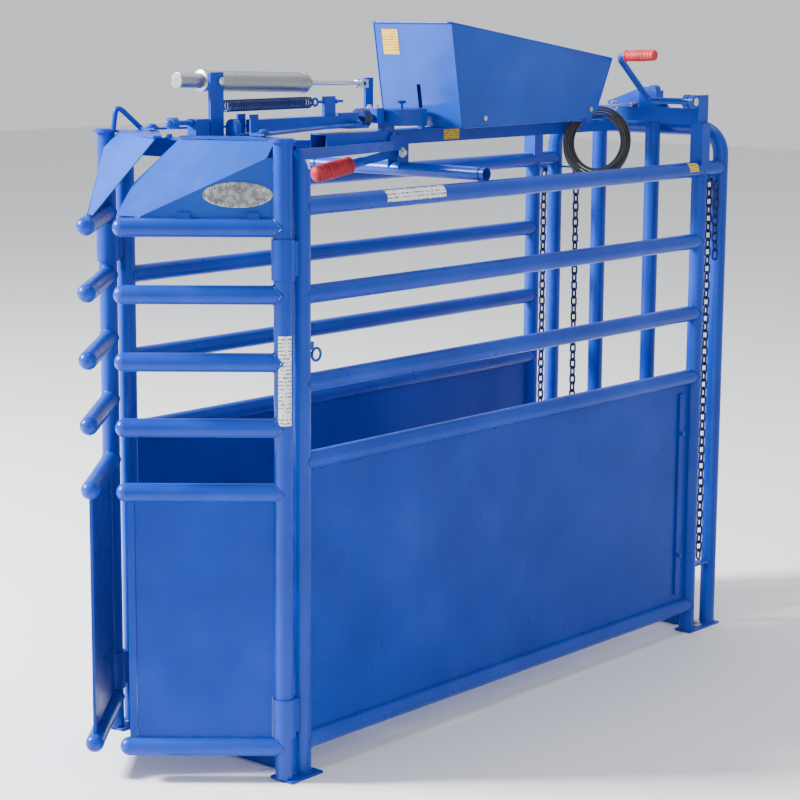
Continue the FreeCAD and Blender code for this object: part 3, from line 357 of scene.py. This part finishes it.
def tube(name, points, radius, material, body, sides=12, closed=False):
    """A round bar along a line, as one piece."""
    return piece(name, *sweep(points, radius, sides, closed), material, body)


def lathe(profile, origin, axis, sides=48):
    """Points and faces of a turned shape; profile is (radius, distance along the axis)."""
    smallest = 0.05  # a radius of zero would fold the ring onto one point
    origin, axis = Vector(origin), Vector(axis).normalized()
    first, second = across(axis)
    spots = []
    for radius, distance in profile:
        seat, reach = origin + axis * distance, max(radius, smallest)
        spots += [seat + (first * math.cos(a) + second * math.sin(a)) * reach for a in round_angles(sides)]
    return spots, ring_faces(len(profile), sides)


def turned(name, profile, origin, axis, material, body, sides=48, angle=35.0):
    """A turned shape as one piece, creased at its sharp edges."""
    return crease(piece(name, *lathe(profile, origin, axis, sides), material, body), angle)


def joined(name, parts, material, body, angle=35.0):
    """Several point-and-face lists as one piece."""
    spots, faces = [], []
    for more_spots, more_faces in parts:
        shift = len(spots)
        spots += more_spots
        faces += [tuple(i + shift for i in face) for face in more_faces]
    return crease(piece(name, spots, faces, material, body), angle)


def slab(corners, normal, thickness):
    """Points and faces of a plate from its corners and its thickness along a normal."""
    count = len(corners)
    lift = normal.normalized() * thickness
    spots = list(corners) + [c + lift for c in corners]
    faces = [tuple(range(count))[::-1], tuple(range(count, 2 * count))]
    faces += [(k, (k + 1) % count, (k + 1) % count + count, k + count) for k in range(count)]
    return spots, faces


def hex_bolt(spot, axis, size):
    """A hexagon head with a chamfered top, on a washer; size is across the flats."""
    spot, axis = Vector(spot), Vector(axis).normalized()
    first, second = across(axis)
    height, reach, base, rim = size * 0.62, size / 1.732, size * 0.14, size * 0.92
    rows = [(1.0, base), (1.0, base + height * 0.82), (0.86, base + height)]
    spots = [spot + axis * lift + (first * math.cos(a) + second * math.sin(a)) * reach * scale
             for scale, lift in rows for a in round_angles(6)]
    washer = [(rim * 0.96, 0), (rim, base * 0.3), (rim, base * 0.8), (rim * 0.95, base)]
    return [(spots, ring_faces(len(rows), 6)), lathe(washer, spot, axis, 28)]


def bolts(name, spots, axis, size, material, body):
    """Identical bolts as one piece; spots are their seats."""
    parts = [part for spot in spots for part in hex_bolt(spot, axis, size)]
    return joined(name, parts, material, body, 25.0)


# ---------------------------------------------------------------- welds

def saddle(post, along, up):
    """The line where one main pipe meets another, both through one point."""
    side = along.cross(up).normalized()
    line = []
    for a in round_angles(40):
        lateral = PIPE * math.sin(a)
        reach = math.sqrt(max(PIPE * PIPE - lateral * lateral, 1.0))
        line.append(post + along * reach + side * lateral + up * PIPE * math.cos(a))
    return line


def weld(line, size=3.4, closed=True):
    """A rippled fillet along a line."""
    ripple = [size * (1.0 + 0.16 * math.sin(2.4 * k) + RANDOM.uniform(-0.08, 0.08))
              for k in range(len(line))]
    return sweep(line, lambda index: ripple[index], 7, closed)


def dense(start, end, step=4.0):
    """Points on a straight line, about a step apart."""
    count = max(2, int((end - start).length / step))
    return [start.lerp(end, k / count) for k in range(count + 1)]


def bead(start, end, size=3.0, step=4.0):
    """A straight fillet between two points."""
    return weld(dense(Vector(start), Vector(end), step), size, closed=False)


def rail_welds():
    """Fillets at the rails' ends, on the rear posts' tops and round the cross tube's ends."""
    for side, sign in SIDES.items():
        beads = []
        for name, height in RAIL_HEIGHTS.items():
            front = Vector((sign * HALF_WIDTH, 0, height))
            rear_y = ARCH_Y if name == "top" else REAR_POST_Y
            beads.append(weld(saddle(front, Y, Z)))
            beads.append(weld(saddle(Vector((sign * HALF_WIDTH, rear_y, height)), -Y, Z)))
        rear_top = Vector((sign * HALF_WIDTH, REAR_POST_Y, RAIL_HEIGHTS["top"]))
        beads.append(weld(saddle(rear_top, -Z, X)))
        ring = [Vector((sign * (HALF_WIDTH - 22), CROSS_TUBE_Y + CROSS_TUBE_RADIUS * math.cos(a),
                        CROSS_TUBE_Z + CROSS_TUBE_RADIUS * math.sin(a))) for a in round_angles(36)]
        beads.append(weld(ring, 2.6, closed=False))
        joined(f"{side}_rail_welds", beads, BLUE_WELD, "chute_frame", 60.0)


def panel_welds():
    """Short fillets that hold each side sheet to the pipes above and below it."""
    for side, sign in SIDES.items():
        beads = []
        for height in (RAIL_HEIGHTS["bottom"] + PIPE + 1.0, RAIL_HEIGHTS["panel"] - PIPE - 1.0):
            for number in range(12):
                start = 90.0 + number * SIDE_WELD_SPACING + RANDOM.uniform(-8, 8)
                length = 26.0 + RANDOM.uniform(-3, 5)
                low = Vector((sign * SIDE_SHEET_FACE, start, height))
                beads.append(bead(low, low + Y * length, step=3.0))
        joined(f"{side}_panel_welds", beads, BLUE_WELD, "chute_frame", 60.0)


def gate_direction(side):
    """Along the gate from its hinge, and the way it leans back, as unit vectors."""
    sign, angle = SIDES[side], math.radians(GATE_ANGLE[side])
    along = Vector((-sign * math.cos(angle), -math.sin(angle), 0))
    back = Vector((-sign * math.sin(angle), math.cos(angle), 0))
    return along, back


def gate_point(side, reach, back, height):
    """A point of a gate: along it from the hinge, back towards the animal, and up."""
    along, rear = gate_direction(side)
    hinge = Vector((SIDES[side] * HALF_WIDTH, -SETBACK, 0))
    return hinge + along * reach + rear * back + Z * height


def gate_welds():
    """Fillets on the gates' rungs, sheets and wings, and the wings' tabs and folded edge."""
    for side in SIDES:
        along, back = gate_direction(side)
        beads = [weld(saddle(gate_point(side, 0, 0, height), along, Z)) for height in RUNG_HEIGHTS]
        for height, sense in ((RUNG_HEIGHTS[5] + PIPE, 1), (RUNG_HEIGHTS[4] - PIPE, -1)):
            for reach in (70, 170, 270, 370, 450):
                start = gate_point(side, reach, -2.5, height + sense)
                beads.append(bead(start, start + along * 28, 2.8, 3.0))
        for back_step in (-2.2, 2.2):
            start = gate_point(side, 34, back_step, RUNG_HEIGHTS[0] + PIPE - 0.6)
            beads.append(bead(start, start + along * 408, 2.6, 5.0))
        joined(f"{side}_gate_welds", beads, BLUE_WELD, f"{side}_gate", 60.0)
        tabs = []
        for reach in (93, 307):
            low = gate_point(side, reach - 23, -1.6, RUNG_HEIGHTS[0] + PIPE - 2)
            corners = [low, low + along * 46, low + along * 42 + Z * 19, low + along * 4 + Z * 19]
            tabs.append(slab(corners, -back, 9.0))
        joined(f"{side}_wing_tabs", tabs, BLUE, f"{side}_gate", 30.0)
        fold = dense(gate_point(side, 47, 1, 2005), gate_point(side, 445, -1, 1822), 6.0)
        tube(f"{side}_wing_fold", fold, 2.6, BLUE_COVER_PAINTED_LIGHT, f"{side}_gate", 8)


def frame_welds():
    """Fillets on the collars' webs, the feet, the damper upright, the slide guides and the gusset."""
    beads = []
    for sign in SIDES.values():
        for low in COLLAR_LOWS:
            for x in (sign * HALF_WIDTH - 16, sign * HALF_WIDTH + 16):
                beads += [bead((x, y, low + 8), (x, y, low + 120)) for y in (-27, -50)]
        for y in (0, REAR_POST_Y, ARCH_Y):
            centre = Vector((sign * HALF_WIDTH, y, FOOT_TOP + 1.5))
            ring = [Vector((centre.x + (PIPE + 1) * math.cos(a), y + (PIPE + 1) * math.sin(a), centre.z))
                    for a in round_angles(40)]
            beads.append(weld(ring))
    for x, start, end in ((6, -10, 47), (18, -10, 47), (-33.6, 158, 192), (33.6, 158, 192)):
        beads.append(bead((x, start, DECK_TOP), (x, end, DECK_TOP)))
    gusset_y, gusset_z = REAR_POST_Y + 25, 2084.5
    beads.append(bead((-52, gusset_y, gusset_z), (235, gusset_y, gusset_z), 3.2))
    joined("frame_welds", beads, BLUE_WELD, "chute_frame", 60.0)


# ---------------------------------------------------------------- spring, damper and pins

def gate_spring():
    """Open-wound extension spring with a hook at each end."""
    x, z = SPRING_AXIS
    front, rear = SPRING_ENDS
    wire, reach, turns, steps = 3.2, 17.0, 36, 24
    line = [Vector((12, 49, z + 16)), Vector((11, 55, z + 16.6))]
    for k in range(turns * steps + 1):
        a = 2 * math.pi * k / steps + 1.35
        y = front + (rear - front) * k / (turns * steps)
        line.append(Vector((x + reach * math.cos(a), y, z + reach * math.sin(a))))
    end = line[-1]
    hook = [Vector((x, rear + 4, z + 13)), Vector((x, rear + 9, z + 6)), Vector((x, rear + 17, z + 2)),
            Vector((x, rear + 20, z - 3)), Vector((x, rear + 16, z - 8)), Vector((x, rear + 9, z - 9))]
    line += [end.lerp(hook[0], 0.5)] + hook
    spring = tube("coil_spring", line, wire, DEEP_BLUE, "chute_frame", 8)
    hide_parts("gate_spring")
    tuple(mm(x, 48, z))
    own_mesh(spring)


def damper_details():
    """The damper's rings, wiper and clevis nut, and the cap of its front pin."""
    line = Vector((0, math.cos(DAMPER_TILT), -math.sin(DAMPER_TILT)))
    for name, start, profile in (
            ("damper_front_ring", -44, [(33, 0), (36, 2), (36, 10), (34.5, 12)]),
            ("damper_rear_ring", 436, [(34.5, 0), (36.2, 2), (36.2, 11), (33, 13)]),
            ("damper_nose_ring", -146, [(20, -3), (25.5, 0), (25.5, 9), (24, 11)]),
            ("damper_wiper", 468, [(19, 0), (19, 5), (15, 9), (10.2, 10)])):
        turned(name, profile, DAMPER_PIVOT + line * start, line, SILVER, "damper", 56)
    nut = [(8, 0), (13, 1), (13, 12), (9.2, 14)]
    turned("damper_clevis_nut", nut, DAMPER_PIVOT + line * 712, line, ZINC, "damper_piston", 6, 20.0)
    cap = [(11, 0), (13, 1.5), (13, 6), (9, 9), (0, 10)]
    turned("upright_pin_cap", cap, (18, DAMPER_PIVOT.y, DAMPER_PIVOT.z), X, ZINC, "chute_frame")


def link_pins():
    """Washers and domed heads over the link pins, and the caps of the gates' hinges."""
    profile = [(20, 0), (20.5, 0.6), (20.5, 2.6), (13, 3.2), (13, 7), (10.5, 10), (4, 11.4), (0, 11.6)]
    for side, sign in SIDES.items():
        x = sign * (HALF_WIDTH - CRANK * math.cos(HALF_TRAVEL))
        y = -SETBACK + CRANK * math.sin(HALF_TRAVEL)
        turned(f"{side}_gate_pin_head", profile, (x, y, 2074), Z, BLUE, f"{side}_gate")
        turned(f"{side}_slide_pin_head", profile, (sign * 44, 670, 2073.4), Z, BLUE, "gate_slide")
        hinge = Vector((sign * HALF_WIDTH, -SETBACK, 2062))
        turned(f"{side}_hinge_cap", [(33, 0), (33, 2.5), (31, 4), (0, 5)], hinge, Z, BLUE, f"{side}_gate")


def slide_details():
    """Bolts on the slide's lugs and the header deck, the roller lug's ring and the buffer pad."""
    bolts("slide_lug_bolts", [(-24, 812, 2118), (8, 812, 2118)], Z, 15, ZINC, "gate_slide")
    seats = [(-118, -66, DECK_TOP), (-118, 170, DECK_TOP), (66, -66, DECK_TOP)]
    bolts("deck_bolts", seats, Z, 17, BLUE, "chute_frame")
    ring = [Vector((58 + 23 * math.cos(a), 61.5, 2084 + 23 * math.sin(a))) for a in round_angles(32)]
    tube("roller_face_ring", ring, 1.6, BLUE_WELD, "chute_frame", 8, closed=True)
    pad = [(33, 0), (34.4, 1.5), (34.4, 6), (33, 7.5)]
    turned("buffer_pad", pad, (0, 736.2, 2086), Y, BLACK_RUBBER, "gate_slide", 64)


# ---------------------------------------------------------------- levers

def grip_profile(length, radius, ribs):
    """A moulded handle: flange, ribs along its length and a rounded end."""
    profile = [(radius * 0.80, 0), (radius, 1.5), (radius, 6), (radius * 0.86, 8)]
    start, end = 10.0, length - radius * 0.55
    for k in range(ribs * 6 + 1):
        t = k / (ribs * 6)
        swell = 0.90 + 0.07 * math.sin(math.pi * t)
        rib = 0.05 * math.cos(2 * math.pi * t * ribs)
        profile.append((radius * (swell + rib), start + (end - start) * t))
    for k in range(1, 8):
        a = math.pi / 2 * k / 7
        profile.append((radius * 0.93 * math.cos(a), end + radius * 0.55 * math.sin(a)))
    return profile


def grips():
    """The two levers' moulded grips, and the heads of their pins."""
    line = Vector((0, -math.cos(TRIP_TILT), -math.sin(TRIP_TILT)))
    start = TRIP_PIVOT + line * (TRIP_FLAT_BAR + TRIP_ROUND_BAR)
    profile = grip_profile(180, 30, 9)
    grip = turned("trip_lever_grip", profile, start, line, RED_RUBBER, "trip_lever", 56, 80.0)
    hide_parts("trip_grip")
    outward = (TAIL_LEVER_END - TAIL_LEVER_BEND).normalized()
    start = TAIL_LEVER_END - outward * 118
    profile = grip_profile(140, 22, 8)
    grip = turned("tail_lever_grip", profile, start, outward, RED_RUBBER, "tail_lever", 56, 80.0)
    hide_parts("tail_grip")
    bolts("trip_pin_head", [(30, TRIP_PIVOT.y, TRIP_PIVOT.z)], X, 20, ZINC, "chute_frame")
    cap = [(12.4, 0), (16, 0.4), (16, 3), (12, 5), (0, 6)]
    turned("tail_shaft_cap", cap, (413, 2215, 2112), X, ZINC, "tail_lever")


def far_plate_loop():
    """The bent round-bar handle that stands on the far gate's top plate."""
    first, second = Vector((-359, -90, 2062)), Vector((-313, -1, 2062))
    corner = first + Z * 84 + (second - first) * 0.12
    down, over = corner.lerp(first, 0.35), corner.lerp(second, 0.30)
    line = dense(first, down, 6.0)
    for k in range(1, 12):
        t = k / 12
        line.append(down * (1 - t) ** 2 + corner * 2 * t * (1 - t) + over * t * t)
    line += dense(over, second, 6.0)
    tube("far_plate_handle", line, 9.0, BLUE, "far_gate", 18)


# ---------------------------------------------------------------- rope

def rope_route():
    """The rope's points: out of the cover, then wound over its peg in layers of two and a half turns."""
    inner, layer, pitch, turns, wraps = 106.7, 10.2, 10.4, 10, 2.5
    facing = Vector((math.cos(COIL_TURN), -math.sin(COIL_TURN), 0))
    level_line = Vector((math.sin(COIL_TURN), math.cos(COIL_TURN), 0))
    route = [Vector((52, 1846, 2100)), Vector((50, 1850, 2068))]
    steps, start_angle, climb = 16, math.radians(138), 0.2
    across_coil = pitch * wraps / 2
    for k in range(turns * steps + 1):
        turn = k / steps
        level, along = divmod(turn, wraps)
        shift = -across_coil + along * pitch
        reach = inner + layer * (turns / wraps - 1 - level)
        rise = min(1.0, max(0.0, (along - wraps + climb) / climb))
        reach -= layer * rise if level < turns / wraps - 1 else 0.0
        if level % 2:
            shift = -shift
        a = start_angle - 2 * math.pi * turn
        low = max(0.0, -math.sin(a))  # the turns hang looser towards the coil's foot
        shift = shift * (1.0 + 0.30 * low) + 1.1 * math.sin(2.3 * turn + a)
        reach += (reach - inner) * 0.16 * low + 1.2 * math.sin(3.1 * turn)
        spot = COIL_CENTRE + facing * shift + level_line * reach * math.cos(a)
        route.append(spot + Z * reach * math.sin(a))
    return route


def curve_length_and_end(curve):
    """A curve's length in metres and its last point in millimetres, measured on its bare line."""
    bare = curve.copy()
    bare.bevel_depth = 0.0
    probe = bpy.data.objects.new("route_probe", bare)
    bpy.context.scene.collection.objects.link(probe)
    line = bpy.data.meshes.new_from_object(probe)
    spots = [vertex.co.copy() for vertex in line.vertices]
    length = sum((spots[edge.vertices[0]] - spots[edge.vertices[1]]).length for edge in line.edges)
    bpy.data.objects.remove(probe)
    bpy.data.curves.remove(bare)
    bpy.data.meshes.remove(line)
    return length, spots[-1] * 1000


def trip_rope():
    """The trip rope as one curve, with the sleeve on its end."""
    route = rope_route()
    curve = bpy.data.curves.new("trip_rope", "CURVE")
    curve.dimensions = "3D"
    curve.bevel_depth = mm(ROPE_RADIUS)
    curve.bevel_resolution = 5
    curve.resolution_u = 6
    curve.use_fill_caps = True
    spline = curve.splines.new("NURBS")
    spline.points.add(len(route) - 1)
    for point, spot in zip(spline.points, route):
        point.co = (*mm(spot), 1.0)
    spline.order_u = 3
    spline.use_endpoint_u = True
    curve.materials.append(ROPE)
    rope = bpy.data.objects.new("trip_rope_line", curve)
    bpy.context.scene.collection.objects.link(rope)
    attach(rope, "chute_frame")
    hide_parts("trip_rope", "rope_coil")
    length, end = curve_length_and_end(curve)
    profile = [(4.4, -9), (5.6, -7), (5.8, 0), (5.6, 7), (4.4, 9)]
    sleeve = turned("rope_end_sleeve", profile, end, -Y * 0.4 + Z, BLACK_RUBBER, "chute_frame", 24)
    tuple(mm(route[0]))
    mm(2 * ROPE_RADIUS)


# ---------------------------------------------------------------- labels, cover, bolts and chain

def wrapped_label(name, centre, along, up, length, sweep_angle, material, body):
    """A label that wraps part of the way round a main pipe."""
    under, over = PIPE + 0.35, PIPE + 0.9
    side = along.cross(up).normalized()
    spots, faces, rows = [], [], 14
    for k in range(rows + 1):
        a = -sweep_angle / 2 + sweep_angle * k / rows
        out = side * math.sin(a) + up * math.cos(a)
        for end in (-length / 2, length / 2):
            spots.append(centre + along * end + out * under)
            spots.append(centre + along * end + out * over)
    for k in range(rows):
        a, b = k * 4, k * 4 + 4
        faces += [(a + 1, a + 3, b + 3, b + 1), (a, b, b + 2, a + 2),
                  (a, a + 1, b + 1, b), (a + 2, b + 2, b + 3, a + 3)]
    faces += [(0, 2, 3, 1), (rows * 4, rows * 4 + 1, rows * 4 + 3, rows * 4 + 2)]
    return crease(piece(name, spots, faces, material, body), 50.0)


def rounded_outline(centre, wide, tall, width, height, corner):
    """A rounded rectangle's outline in the plane of two directions."""
    line = []
    for quarter, (sx, sy) in enumerate(((1, 1), (-1, 1), (-1, -1), (1, -1))):
        for k in range(6):
            a = math.pi / 2 * (quarter + k / 5)
            line.append(centre + wide * (sx * (width / 2 - corner) + corner * math.cos(a))
                        + tall * (sy * (height / 2 - corner) + corner * math.sin(a)))
    return line


def flat_label(name, centre, wide, tall, width, height, material, body):
    """A thin label with rounded corners on a flat face."""
    corner, thickness = 3.0, 0.7
    outline = rounded_outline(Vector(centre), wide, tall, width, height, corner)
    return piece(name, *slab(outline, wide.cross(tall), thickness), material, body, smooth=False)


def labels():
    """The blank labels on the hinge post, the rail, the beam and the cover, and the badge."""
    outward = Vector((0.82, -0.57, 0)).normalized()
    centre = Vector((HALF_WIDTH, -SETBACK, 1312))
    wrapped_label("hinge_post_label", centre, Z, outward, 285, 1.5, WHITE_LABEL, "near_gate")
    outward = Vector((0.9, 0, 0.44)).normalized()
    for name, y, length, sweep_angle, material in (("top_rail_label", 530, 300, 1.5, WHITE_LABEL),
                                                   ("rear_rail_label", 2190, 62, 1.2, YELLOW_LABEL)):
        centre = Vector((HALF_WIDTH, y, RAIL_HEIGHTS["top"]))
        wrapped_label(name, centre, Y, outward, length, sweep_angle, material, "chute_frame")
    flat_label("beam_label", (38.3, 1190, 2015), Y, Z, 90, 36, YELLOW_LABEL, "chute_frame")
    front_down = (Vector((0, *COVER_FOOT)) - Vector((0, *COVER_BROW))).normalized()
    centre = Vector((-108, *COVER_BROW)) + front_down * 70 + Vector((0, -0.8, 0))
    flat_label("cover_label", centre, X, -front_down, 74, 92, YELLOW_LABEL, "chute_frame")
    badge()


def badge():
    """A blank oval plate with a beaded rim, on the near gate's wing."""
    along, back = gate_direction("near")
    centre = gate_point("near", 140, -1.6, 1892)
    rows = [(1.0, 0.0), (1.0, 2.0), (0.93, 3.4), (0.90, 2.4), (0.5, 3.0), (0.02, 3.2)]
    sides = 64
    spots = [centre - back * lift + (-along * 109 * math.cos(a) + Z * 40 * math.sin(a)) * scale
             for scale, lift in rows for a in round_angles(sides)]
    crease(piece("blank_badge", spots, ring_faces(len(rows), sides), PLATE_METAL, "near_gate"), 30.0)
    dome, beads = [(2.7, 0), (2.6, 0.6), (1.7, 2.0), (0, 2.6)], []
    for a in round_angles(44):
        seat = centre - back * 2.2 - along * 96 * math.cos(a) + Z * 33.5 * math.sin(a)
        beads.append(lathe(dome, seat, -back, 10))
    joined("badge_beads", beads, PLATE_METAL, "near_gate", 60.0)


def cover_details():
    """Folds along the cover's roof, hems along its open edges and its rolled front edge."""
    for name, sign in SIDES.items():
        brow, tail, heel, toe, foot = (Vector((sign * COVER_HALF_WIDTH, *corner)) for corner in (
            COVER_BROW, COVER_TAIL, COVER_HEEL, COVER_TOE, COVER_FOOT))
        line = dense(brow, tail, 20.0)[:-1] + dense(tail, heel, 20.0)[:-1] + [heel]
        tube(f"{name}_cover_fold", line, 2.2, BLUE_COVER_PAINTED_LIGHT, "chute_frame", 8)
        low = dense(brow, foot, 12.0) + dense(foot, toe, 20.0)[1:]
        tube(f"{name}_cover_hem", low, 2.6, BLUE_COVER_PAINTED_LIGHT, "chute_frame", 8)
    line = dense(Vector((-181, 1009, 2413)), Vector((181, 1009, 2413)), 20.0)
    tube("cover_brow", line, 4.5, BLUE_COVER_PAINTED_LIGHT, "chute_frame", 10)


def fasteners():
    """The bolts on the rear feet, panel, far rail and gusset, and the steel clip by the rear head."""
    anchor = [(sign * HALF_WIDTH, GAP_Y, FOOT_TOP) for sign in SIDES.values()]
    bolts("rear_anchor_bolts", anchor, Z, 24, ZINC, "chute_frame")
    seats = [(HALF_WIDTH + 10, 2182, z) for z in (330, 820)]
    bolts("near_panel_bolts", seats, X, 15, BLUE, "chute_frame")
    bolts("far_rail_bolt", [(-380, 860, 1873)], Vector((0.55, 0, 0.83)), 19, ZINC, "chute_frame")
    bolts("gusset_bolts", [(x, REAR_POST_Y + 35.4, 2062) for x in (-20, 60)], Y, 19, BLUE, "chute_frame")
    eye = [Vector((100, 2120 + 26 * math.cos(a), 2092 + 17 * math.sin(a))) for a in round_angles(30)]
    shank = dense(Vector((100, 2146, 2092)), Vector((100, 2236, 2092)), 15)
    body = lathe([(9, 0), (9, 40), (7, 44), (0, 45)], (100, 2232, 2092), Y, 24)
    joined("rear_clip", [body, sweep(eye, 3.2, 8, True), sweep(shank, 3.2, 8)], ZINC, "chute_frame")


def link(centre, turned_round):
    """Points and faces of one oval chain link."""
    half, wire, straight = 11.0, 4.0, 19.4
    wide = Y if turned_round else X
    line = []
    for a in round_angles(28):
        lift = straight / 2 if math.sin(a) >= 0 else -straight / 2
        line.append(centre + wide * half * math.cos(a) + Z * (half * math.sin(a) + lift))
    return sweep(line, wire, 10, True)


def slack_chain():
    """The spare end of the near chain, hung back up outside it."""
    top, pitch = 1780, 33
    parts = [link(Vector((HALF_WIDTH + 33 + 2.0 * math.sin(k), GAP_Y, top - pitch * k)), k % 2)
             for k in range(9)]
    joined("near_chain_spare", parts, CHAIN_STEEL, "chute_frame", 60.0)


# ---------------------------------------------------------------- studio

def studio():
    """A pale floor under an even sky, a key light to the left, a weak fill and a wide top light."""
    floor_mesh = bpy.data.meshes.new("floor")
    reach, level = 30.0, -0.001
    corners = [(sx * reach, sy * reach, level) for sx, sy in ((-1, -1), (1, -1), (1, 1), (-1, 1))]
    floor_mesh.from_pydata(corners, [], [(0, 1, 2, 3)])
    floor = bpy.data.objects.new("floor", floor_mesh)
    bpy.context.scene.collection.objects.link(floor)
    floor_mesh.materials.append(shader("pale_floor", Roughness=0.85, Base_Color=(0.80, 0.81, 0.82, 1.0))[0])
    world = bpy.data.worlds.new("studio")
    world.use_nodes = True
    sky = world.node_tree.nodes["Background"].inputs
    sky["Color"].default_value = (0.95, 0.97, 1.0, 1.0)
    sky["Strength"].default_value = 0.85
    bpy.context.scene.world = world
    aim = Vector((0, 1.1, 1.1))
    for name, spot, power, width in (("key", (-6.0, -5.4, 6.5), 4600, 2.0),
                                     ("fill", (7.0, -2.0, 3.5), 90, 5.0),
                                     ("top", (0.5, 2.5, 8.5), 300, 6.0)):
        light = bpy.data.lights.new(name, "AREA")
        light.energy = power
        light.size = width
        lamp = bpy.data.objects.new(name, light)
        lamp.location = spot
        lamp.rotation_euler = (aim - Vector(spot)).to_track_quat("-Z", "Y").to_euler()
        bpy.context.scene.collection.objects.link(lamp)


def camera():
    """The photograph's viewing angle."""
    yaw, pitch, roll = (math.radians(a) for a in (41.0093, -9.9196, 0.223))
    forward = Vector((-math.sin(yaw) * math.cos(pitch), math.cos(yaw) * math.cos(pitch), math.sin(pitch)))
    right = Vector((math.cos(yaw), math.sin(yaw), 0))
    up = right.cross(forward)
    turned_right = right * math.cos(roll) + up * math.sin(roll)
    turned_up = up * math.cos(roll) - right * math.sin(roll)
    lens = bpy.data.cameras.new("camera")
    lens.lens, lens.sensor_width = 100.06, 36.0
    lens.shift_x, lens.shift_y = 0.0350, -0.0039
    lens.clip_end = 200.0
    view = bpy.data.objects.new("camera", lens)
    axes = Matrix((turned_right, turned_up, -forward)).transposed().to_4x4()
    view.matrix_world = Matrix.Translation((5.1235, -5.0892, 2.462)) @ axes
    bpy.context.scene.collection.objects.link(view)
    bpy.context.scene.camera = view


camera()
studio()
finish_cad_nodes()
rail_welds()
panel_welds()
gate_welds()
frame_welds()
gate_spring()
damper_details()
link_pins()
slide_details()
grips()
far_plate_loop()
trip_rope()
labels()
cover_details()
fasteners()
slack_chain()
